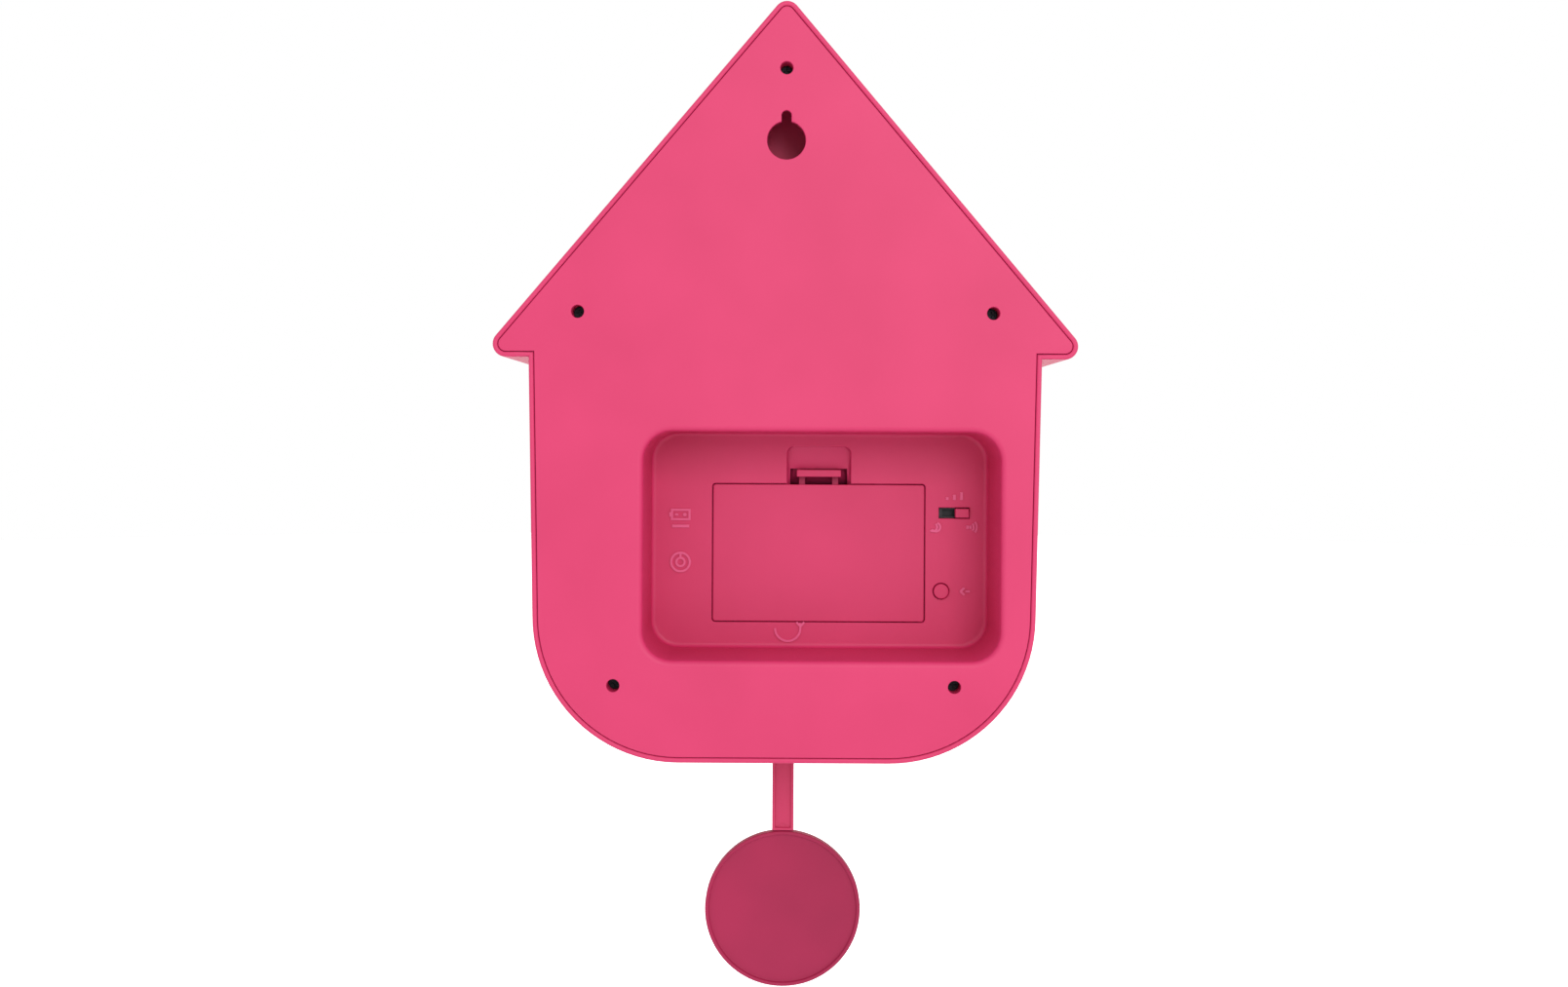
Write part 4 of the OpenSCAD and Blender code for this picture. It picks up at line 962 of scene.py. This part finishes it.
@dataclass
class PocketControls:
    """Everything inside the rear pocket: battery cover, latch, switch, button, marks.

    Attributes:
        floor: Depth of the pocket's floor.
        mark: Height of the raised marks.
        line: Width of a mark's line.
        volume: Place of the three rising bars.
        night: Place of the crescent.
        sound: Place of the sound arcs.
        cell_mark: Place of the cell mark.
        ring_mark: Place of the mould's date ring.
        turn_mark: Place of the setting arrow.
        set_mark: Place of the pointer beside the button.
    """

    floor: float = 36.0
    mark: float = 0.45
    line: float = 0.75
    volume: tuple[float, float] = (-61.9, -122.4)
    night: tuple[float, float] = (-55.2, -133.7)
    sound: tuple[float, float] = (-68.4, -133.7)
    cell_mark: tuple[float, float] = (37.8, -129.6)
    ring_mark: tuple[float, float] = (37.8, -146.9)
    turn_mark: tuple[float, float] = (-1.4, -170.9)
    set_mark: tuple[float, float] = (-64.6, -157.1)

    def marks(self) -> None:
        """Makes the raised marks that say what the controls do."""
        relief = Relief(self.floor, self.mark)
        x, z = self.volume
        for i, tall in enumerate((1.0, 1.9, 2.8)):
            relief.bar(x + 2.6 - 2.6 * i, z + tall / 2 - 1.4, 1.0, tall)
        x, z = self.night
        relief.arc(x, z, 1.6, self.line, 110, 220)
        relief.arc(x + 1.05, z, 1.5, self.line, 130, 180)
        x, z = self.sound
        for i in range(3):
            relief.arc(x + 1.6, z, 1.1 + i * 1.1, self.line, 145, 70)
        relief.bar(x + 1.6, z, 1.0, 1.2)
        x, z = self.cell_mark
        for s in (-1, 1):
            relief.bar(x, z + s * 1.7, 6.4, self.line)
            relief.bar(x + s * 3.2, z, self.line, 3.4 + self.line)
            relief.bar(x + s * 1.5, z, 1.2, self.line)
        relief.bar(x + 3.8, z, 0.8, 1.6)
        relief.bar(x - 1.5, z, self.line, 1.2)
        relief.bar(x, z - 4.2, 6.2, 1.0)
        x, z = self.ring_mark
        relief.arc(x, z, 3.4, self.line, 0, 360)
        relief.arc(x, z, 1.5, self.line, 0, 360)
        relief.bar(x, z + 2.4, self.line, 1.4)
        x, z = self.turn_mark
        relief.arc(x, z, 4.6, self.line, 180, 180)
        relief.bar(x - 4.6, z + 1.0, self.line, 2.0)
        for s in (-1, 1):
            relief.bar(x - 4.6 + s * 0.7, z + 1.5, self.line, 2.1, s * 42)
        x, z = self.set_mark
        for s in (-1, 1):
            relief.bar(x - 0.4, z + s * 0.65, self.line, 2.0, -s * 48)
        relief.bar(x - 2.3, z, 1.6, self.line)
        # the marks take the paler finish: painted highlight on their tops
        relief.finish("pocket_marks", Finish.MARK, "case")

    def build(self) -> None:
        """Builds the controls and their marks."""
        for node, name, body, radius in (
            ("battery_cover", "battery_lid_moulding", "battery_door", 0.3),
            ("cover_latch", "latch_moulding", "latch", 0.35),
            ("mode_slider", "switch_knob_moulding", "mode_switch", 0.3),
            ("set_button", "set_button_moulding", "set_key", 0.4),
        ):
            softened(node, name, Finish.SHELL, body, [EdgeRound(radius, 3, everywhere)])
        self.marks()


@dataclass
class Pendulum:
    """The hooked-on pendulum: channel bar, tray-shaped bob and the driven hanger.

    Attributes:
        bar_face: Depth of the bar's channel floor on the wall side.
        ejector: Height of the ejector mark on the bar.
    """

    bar_face: float = 41.3
    ejector: float = -245.0

    def build(self) -> None:
        """Builds the bar and the bob and finishes what drives them."""
        # the bar's deeper trim pink and the bob's deeper pink are partly painted shade for where the
        # pendulum hangs
        softened(
            "pendulum_rod", "pendulum_bar_moulding", Finish.TRIM, "pendulum",
            [EdgeRound(0.25, 2, everywhere)],
        )
        softened(
            "pendulum_disc", "pendulum_bob_moulding", Finish.BOB, "pendulum",
            [EdgeRound(0.45, 3, everywhere)],
        )
        relief = Relief(self.bar_face, 0.12)
        relief.arc(0.0, self.ejector, 1.5, 0.3, 0, 360)
        relief.finish("ejector_mark", Finish.TRIM, "pendulum")
        dress(Finish.ACETAL, "pendulum_hanger", "pendulum_bracket")
        dress(Finish.FERRITE, "pendulum_magnet")
        dress(Finish.STEEL, "pendulum_pin")
        dress(Finish.COIL_Y, "pendulum_coil")


@dataclass
class DialFace:
    """Dial, printed scale, bezel and hands.

    Attributes:
        centre: Height of the dial's centre.
        face: Depth of the dial's printed face.
        ink: Thickness of the print, thicker than real so that it shows.
        bar_rise: Height of the hour bars over the dial's face.
        bar_radius: Radius of the hour bars' middles.
        scale_radius: Radius of the minute scale's ring.
        numeral_radius: Radius on which the numerals stand.
        numeral_size: Height of the numerals.
    """

    centre: float = -143.4
    face: float = 79.0
    ink: float = 0.06
    bar_rise: float = 0.4
    bar_radius: float = 47.0
    scale_radius: float = 51.8
    numeral_radius: float = 38.0
    numeral_size: float = 8.2

    def scale(self) -> None:
        """Prints the ring and the minute strokes."""
        relief = Relief(self.face, -self.ink)
        relief.step = 0.0
        relief.arc(0.0, self.centre, self.scale_radius, 0.35, 0, 360)
        for minute in range(60):
            a = math.radians(minute * 6)
            long = 1.6 if minute % 5 else 2.6
            r = self.scale_radius - long / 2
            relief.bar(
                r * math.sin(a), self.centre + r * math.cos(a), 0.35, long, minute * 6
            )
        relief.finish("dial_scale_print", Finish.INK, "case")
        hours = Relief(self.face + self.bar_rise, -self.ink)
        for hour in range(12):
            a = math.radians(hour * 30)
            x, z = self.bar_radius * math.sin(a), self.centre + self.bar_radius * math.cos(a)
            hours.bar(x, z, 1.1, 5.6, hour * 30)
        hours.finish("hour_bar_print", Finish.INK, "case")

    def numeral(self, hour: int) -> None:
        """Prints one numeral.

        Args:
            hour: The hour, from 1 to 12.
        """
        text = bpy.data.curves.new(f"numeral_curve_{hour}", "FONT")
        text.body = str(hour)
        text.size = self.numeral_size * MM * FONT_RATIO
        text.align_x, text.align_y = "CENTER", "CENTER"
        text.extrude = self.ink * MM / 2
        holder = bpy.data.objects.new(f"numeral_holder_{hour}", text)
        bpy.context.scene.collection.objects.link(holder)
        bpy.context.view_layer.update()
        graph = bpy.context.evaluated_depsgraph_get()
        mesh = bpy.data.meshes.new_from_object(holder.evaluated_get(graph))
        bpy.data.objects.remove(holder)
        bm = bmesh.new()
        bm.from_mesh(mesh)
        bpy.data.meshes.remove(mesh)
        bmesh.ops.remove_doubles(bm, verts=bm.verts, dist=MERGE_DISTANCE)
        a = math.radians(hour * 30)
        place = Vector(
            (
                self.numeral_radius * math.sin(a),
                -self.face - self.ink / 2,
                self.centre + self.numeral_radius * math.cos(a),
            )
        )
        turn = Matrix.Rotation(math.radians(90), 4, "X")
        bmesh.ops.transform(bm, matrix=Matrix.Translation(place * MM) @ turn, verts=bm.verts)
        bmesh.ops.recalc_face_normals(bm, faces=bm.faces)
        piece(bm, f"numeral_{hour}", Finish.INK, "case")

    def build(self) -> None:
        """Builds the dial's parts from the back to the front."""
        softened("dial", "dial_sheet", Finish.DIAL, "case", [EdgeRound(0.12, 2, everywhere)])
        self.scale()
        for hour in range(1, 13):
            self.numeral(hour)
        softened(
            "dial_bezel", "bezel_moulding", Finish.TRIM, "case",
            [EdgeRound(1.3, 5, at_depth(82.0, 0.05))],
        )
        softened(
            "hour_hand", "hour_hand_stamping", Finish.LACQUER, "hour",
            [EdgeRound(0.2, 2, everywhere)],
        )
        softened(
            "minute_hand", "minute_hand_stamping", Finish.LACQUER, "minute",
            [EdgeRound(0.2, 2, everywhere)],
        )
        dress(Finish.BRASS, "movement_nut", "minute_arbor")


@dataclass
class Doorway:
    """The cuckoo's doorway: moulded surround, two panelled leaves and their pins.

    Attributes:
        leaf_face: Depth of a leaf's front face.
        panel_height: Height of the moulded frames on a leaf.
        panels: Low and high ends of the framed panels.
        panel_x: Near and far sides of the panels from the middle.
        strip: Width of a frame's strips.
    """

    leaf_face: float = 78.3
    panel_height: float = 0.4
    panels: tuple[tuple[float, float], ...] = ((-53.6, -44.4), (-42.0, -29.6))
    panel_x: tuple[float, float] = (2.4, 10.0)
    strip: float = 0.6

    def leaf(self, side: str) -> None:
        """Makes one leaf with two framed panels.

        Args:
            side: "left" or "right", as seen from the room.
        """
        body = f"{side}_door"
        edges = [EdgeRound(0.15, 2, at_depth(self.leaf_face, 0.02))]
        softened(f"door_{side}", f"{side}_leaf_moulding", Finish.TRIM, body, edges)
        relief = Relief(self.leaf_face, -self.panel_height)
        near, far = self.panel_x
        hand = 1 if side == "right" else -1
        for low, high in self.panels:
            for x in (near, far):
                relief.bar(hand * x, (low + high) / 2, self.strip, high - low)
            for z in (low + self.strip / 2, high - self.strip / 2):
                relief.bar(hand * (near + far) / 2, z, far - near, self.strip)
        relief.finish(f"{side}_leaf_panels", Finish.TRIM, body)

    def build(self) -> None:
        """Builds the surround and both leaves."""
        softened(
            "door_frame", "door_surround_moulding", Finish.TRIM, "case",
            [EdgeRound(0.6, 4, at_depth(80.6, 0.05))],
        )
        self.leaf("left")
        self.leaf("right")
        dress(Finish.STEEL, "door_pins")
        dress(Finish.LENS, "sensor_lens")
        dress(Finish.BLACK, "light_sensor")


@dataclass
class Bird:
    """The cuckoo on its rack-driven carriage.

    Attributes:
        eye: Place of the right eye.
        eye_radius: Radius of an eye.
    """

    eye: tuple[float, float, float] = (5.2, -67.0, -32.6)
    eye_radius: float = 1.35

    def eyes(self) -> None:
        """Makes two domed eyes that stand in the head's sockets."""
        bm = bmesh.new()
        for side in (-1, 1):
            centre = Vector((side * self.eye[0], self.eye[1], self.eye[2])) * MM
            bmesh.ops.create_icosphere(
                bm,
                subdivisions=3,
                radius=self.eye_radius * MM,
                matrix=Matrix.Translation(centre) @ Matrix.Diagonal((0.8, 0.95, 1.0, 1.0)),
            )
        piece(bm, "bird_eyes", Finish.EYE, "bird")

    def build(self) -> None:
        """Builds the bird and finishes its carriage."""
        softened("bird_body", "bird_body_shell", Finish.BIRD, "bird", [])
        wing_edges = [EdgeRound(0.6, 3, everywhere)]
        softened("bird_wings", "bird_wing_pair", Finish.WING, "bird", wing_edges)
        beak_edges = [EdgeRound(0.2, 2, everywhere)]
        softened("bird_beak", "bird_beak_tip", Finish.BEAK, "bird", beak_edges)
        self.eyes()
        dress(Finish.ACETAL, "bird_carriage")


@dataclass
class Works:
    """Everything hidden in the case: movement, cuckoo drive, speaker and electrics."""

    def movement(self) -> None:
        """Finishes the quartz movement and its train."""
        dress(Finish.BLACK, "movement_front", "movement_back", "set_knob")
        dress(Finish.ACETAL, "movement_plate", "minute_wheel", "hour_wheel")
        dress(Finish.ACETAL, "step_wheel", "third_wheel", "centre_wheel")
        dress(Finish.COIL_X, "movement_coil")
        dress(Finish.STEEL, "movement_stator")
        dress(Finish.BOARD, "movement_board")
        dress(Finish.FERRITE, "rotor")

    def cuckoo_drive(self) -> None:
        """Finishes the chassis, motor and gears that push the bird."""
        dress(Finish.ACETAL, "cuckoo_chassis", "drive_gear", "first_gear")
        dress(Finish.STEEL, "motor_can")
        dress(Finish.BRASS, "motor_pinion")

    def electrics(self) -> None:
        """Finishes cells, contacts, board, switches, leads and speaker."""
        dress(Finish.CELLS, "battery_cells")
        dress(Finish.SPRING, "battery_springs", "battery_plates")
        dress(Finish.BOARD, "circuit_board")
        # the slide switch takes the black finish as painted shade for the dark slot in the pocket
        # floor above it
        dress(Finish.BLACK, "board_parts", "slide_switch", "tact_switch")
        dress(Finish.LEADS, "wiring")
        dress(Finish.STEEL, "speaker_basket")
        dress(Finish.CONE, "speaker_cone")
        dress(Finish.FERRITE, "speaker_magnet")

    def build(self) -> None:
        """Finishes all hidden nodes."""
        self.movement()
        self.cuckoo_drive()
        self.electrics()


# ---------------------------------------------------------------- studio


@dataclass(frozen=True)
class SoftBox:
    """One soft light.

    Attributes:
        name: Name of the light.
        place: Its centre, in metres.
        size: Its width and height, in metres.
        power: Its power, in watts.
    """

    name: str
    place: tuple[float, float, float]
    size: tuple[float, float]
    power: float

    def make(self, target: Vector) -> None:
        """Makes the light, turned to a target.

        Args:
            target: Point that it faces, in metres.
        """
        data = bpy.data.lights.new(self.name, "AREA")
        data.shape = "RECTANGLE"
        data.size, data.size_y = self.size
        data.energy = self.power
        lamp = bpy.data.objects.new(self.name, data)
        lamp.location = self.place
        lamp.rotation_euler = (target - Vector(self.place)).to_track_quat("-Z", "Y").to_euler()
        bpy.context.scene.collection.objects.link(lamp)


@dataclass
class Studio:
    """Pale floor, white surround, soft lights and the camera behind the clock.

    Attributes:
        camera_place: Place of the camera, in metres.
        lens: Focal length, in mm on a 36 mm sensor.
        shift: Vertical shift that centres the clock.
        roll: Turn of the camera about its view, in degrees.
        floor_gap: Distance from the pendulum down to the floor, in metres.
        ambient: Brightness of the light from all sides.
        dome_radius: Radius of the white dome around everything, in metres.
    """

    camera_place: tuple[float, float, float] = (0.0003, 0.520, -0.1038)
    lens: float = 35.0
    shift: float = -0.0314
    roll: float = 0.3
    floor_gap: float = 0.12
    ambient: float = 1.1
    dome_radius: float = 5.0

    def camera(self) -> None:
        """Makes the camera that looks at the clock's back."""
        data = bpy.data.cameras.new("camera")
        data.lens = self.lens
        data.sensor_width = 36.0
        data.shift_y = self.shift
        data.clip_start = 0.01
        cam = bpy.data.objects.new("camera", data)
        cam.location = self.camera_place
        look = Matrix.Rotation(math.pi, 3, "Z") @ Matrix.Rotation(math.pi / 2, 3, "X")
        cam.rotation_euler = (look @ Matrix.Rotation(math.radians(self.roll), 3, "Z")).to_euler()
        bpy.context.scene.collection.objects.link(cam)
        bpy.context.scene.camera = cam

    def floor(self) -> None:
        """Makes the pale floor under the hanging clock."""
        bm = bmesh.new()
        bmesh.ops.create_grid(bm, x_segments=2, y_segments=2, size=6.0)
        mesh = bpy.data.meshes.new("floor")
        bm.to_mesh(mesh)
        bm.free()
        obj = bpy.data.objects.new("floor", mesh)
        obj.location.z = cad_box[0].z - self.floor_gap
        g = Graph("pale_studio_floor")
        cloud = g.add("ShaderNodeTexNoise", {"Vector": g.coords, "Scale": 3.0}).outputs[0]
        colour = g.blend(g.spread(cloud, 0.0, 1.0), linear("#FBFBFB"), linear("#F8F8F9"))
        shader = {"Base Color": colour, "Roughness": 0.9, "Emission Strength": 0.6}
        mesh.materials.append(g.finish({**shader, "Emission Color": linear("#FFFFFF")}))
        obj.visible_diffuse = False
        bpy.context.scene.collection.objects.link(obj)

    def dome(self) -> None:
        """Makes the white dome, which shows but adds no diffuse light of its own."""
        bm = bmesh.new()
        bmesh.ops.create_icosphere(bm, subdivisions=4, radius=self.dome_radius)
        bmesh.ops.reverse_faces(bm, faces=bm.faces)
        mesh = bpy.data.meshes.new("dome")
        bm.to_mesh(mesh)
        bm.free()
        mesh.shade_smooth()
        obj = bpy.data.objects.new("dome", mesh)
        g = Graph("white_studio_dome")
        glow = g.add("ShaderNodeEmission", {"Color": linear("#FFFFFF"), "Strength": 1.0})
        g.add("ShaderNodeOutputMaterial", {"Surface": glow.outputs[0]})
        mesh.materials.append(g.material)
        obj.visible_diffuse = False
        obj.visible_shadow = False
        bpy.context.scene.collection.objects.link(obj)

    def build(self) -> None:
        """Builds the studio."""
        scene = bpy.context.scene
        scene.view_settings.view_transform = "Standard"
        world = bpy.data.worlds.new("white_surround")
        world.use_nodes = True
        back = world.node_tree.nodes["Background"]
        back.inputs["Color"].default_value = (1.0, 1.0, 1.0, 1.0)
        back.inputs["Strength"].default_value = self.ambient
        scene.world = world
        self.camera()
        self.floor()
        self.dome()
        target = Vector((0.0, -0.03, -0.11))
        for box in (
            SoftBox("key_above_back", (-0.35, 1.35, 0.35), (0.6, 0.6), 8.0),
            SoftBox("key_above_front", (-0.5, -1.3, 0.9), (0.8, 0.8), 4.0),
        ):
            box.make(target)


def main() -> None:
    """Builds the clock and its studio and reports each piece."""
    logging.basicConfig(level=logging.INFO, format="%(message)s")
    for assembly in (
        Studio(), Case(), PocketControls(), Pendulum(), DialFace(), Doorway(), Bird(), Works(),
    ):
        log.info("building %s", type(assembly).__name__)
        assembly.build()


if __name__ == "__main__":
    main()
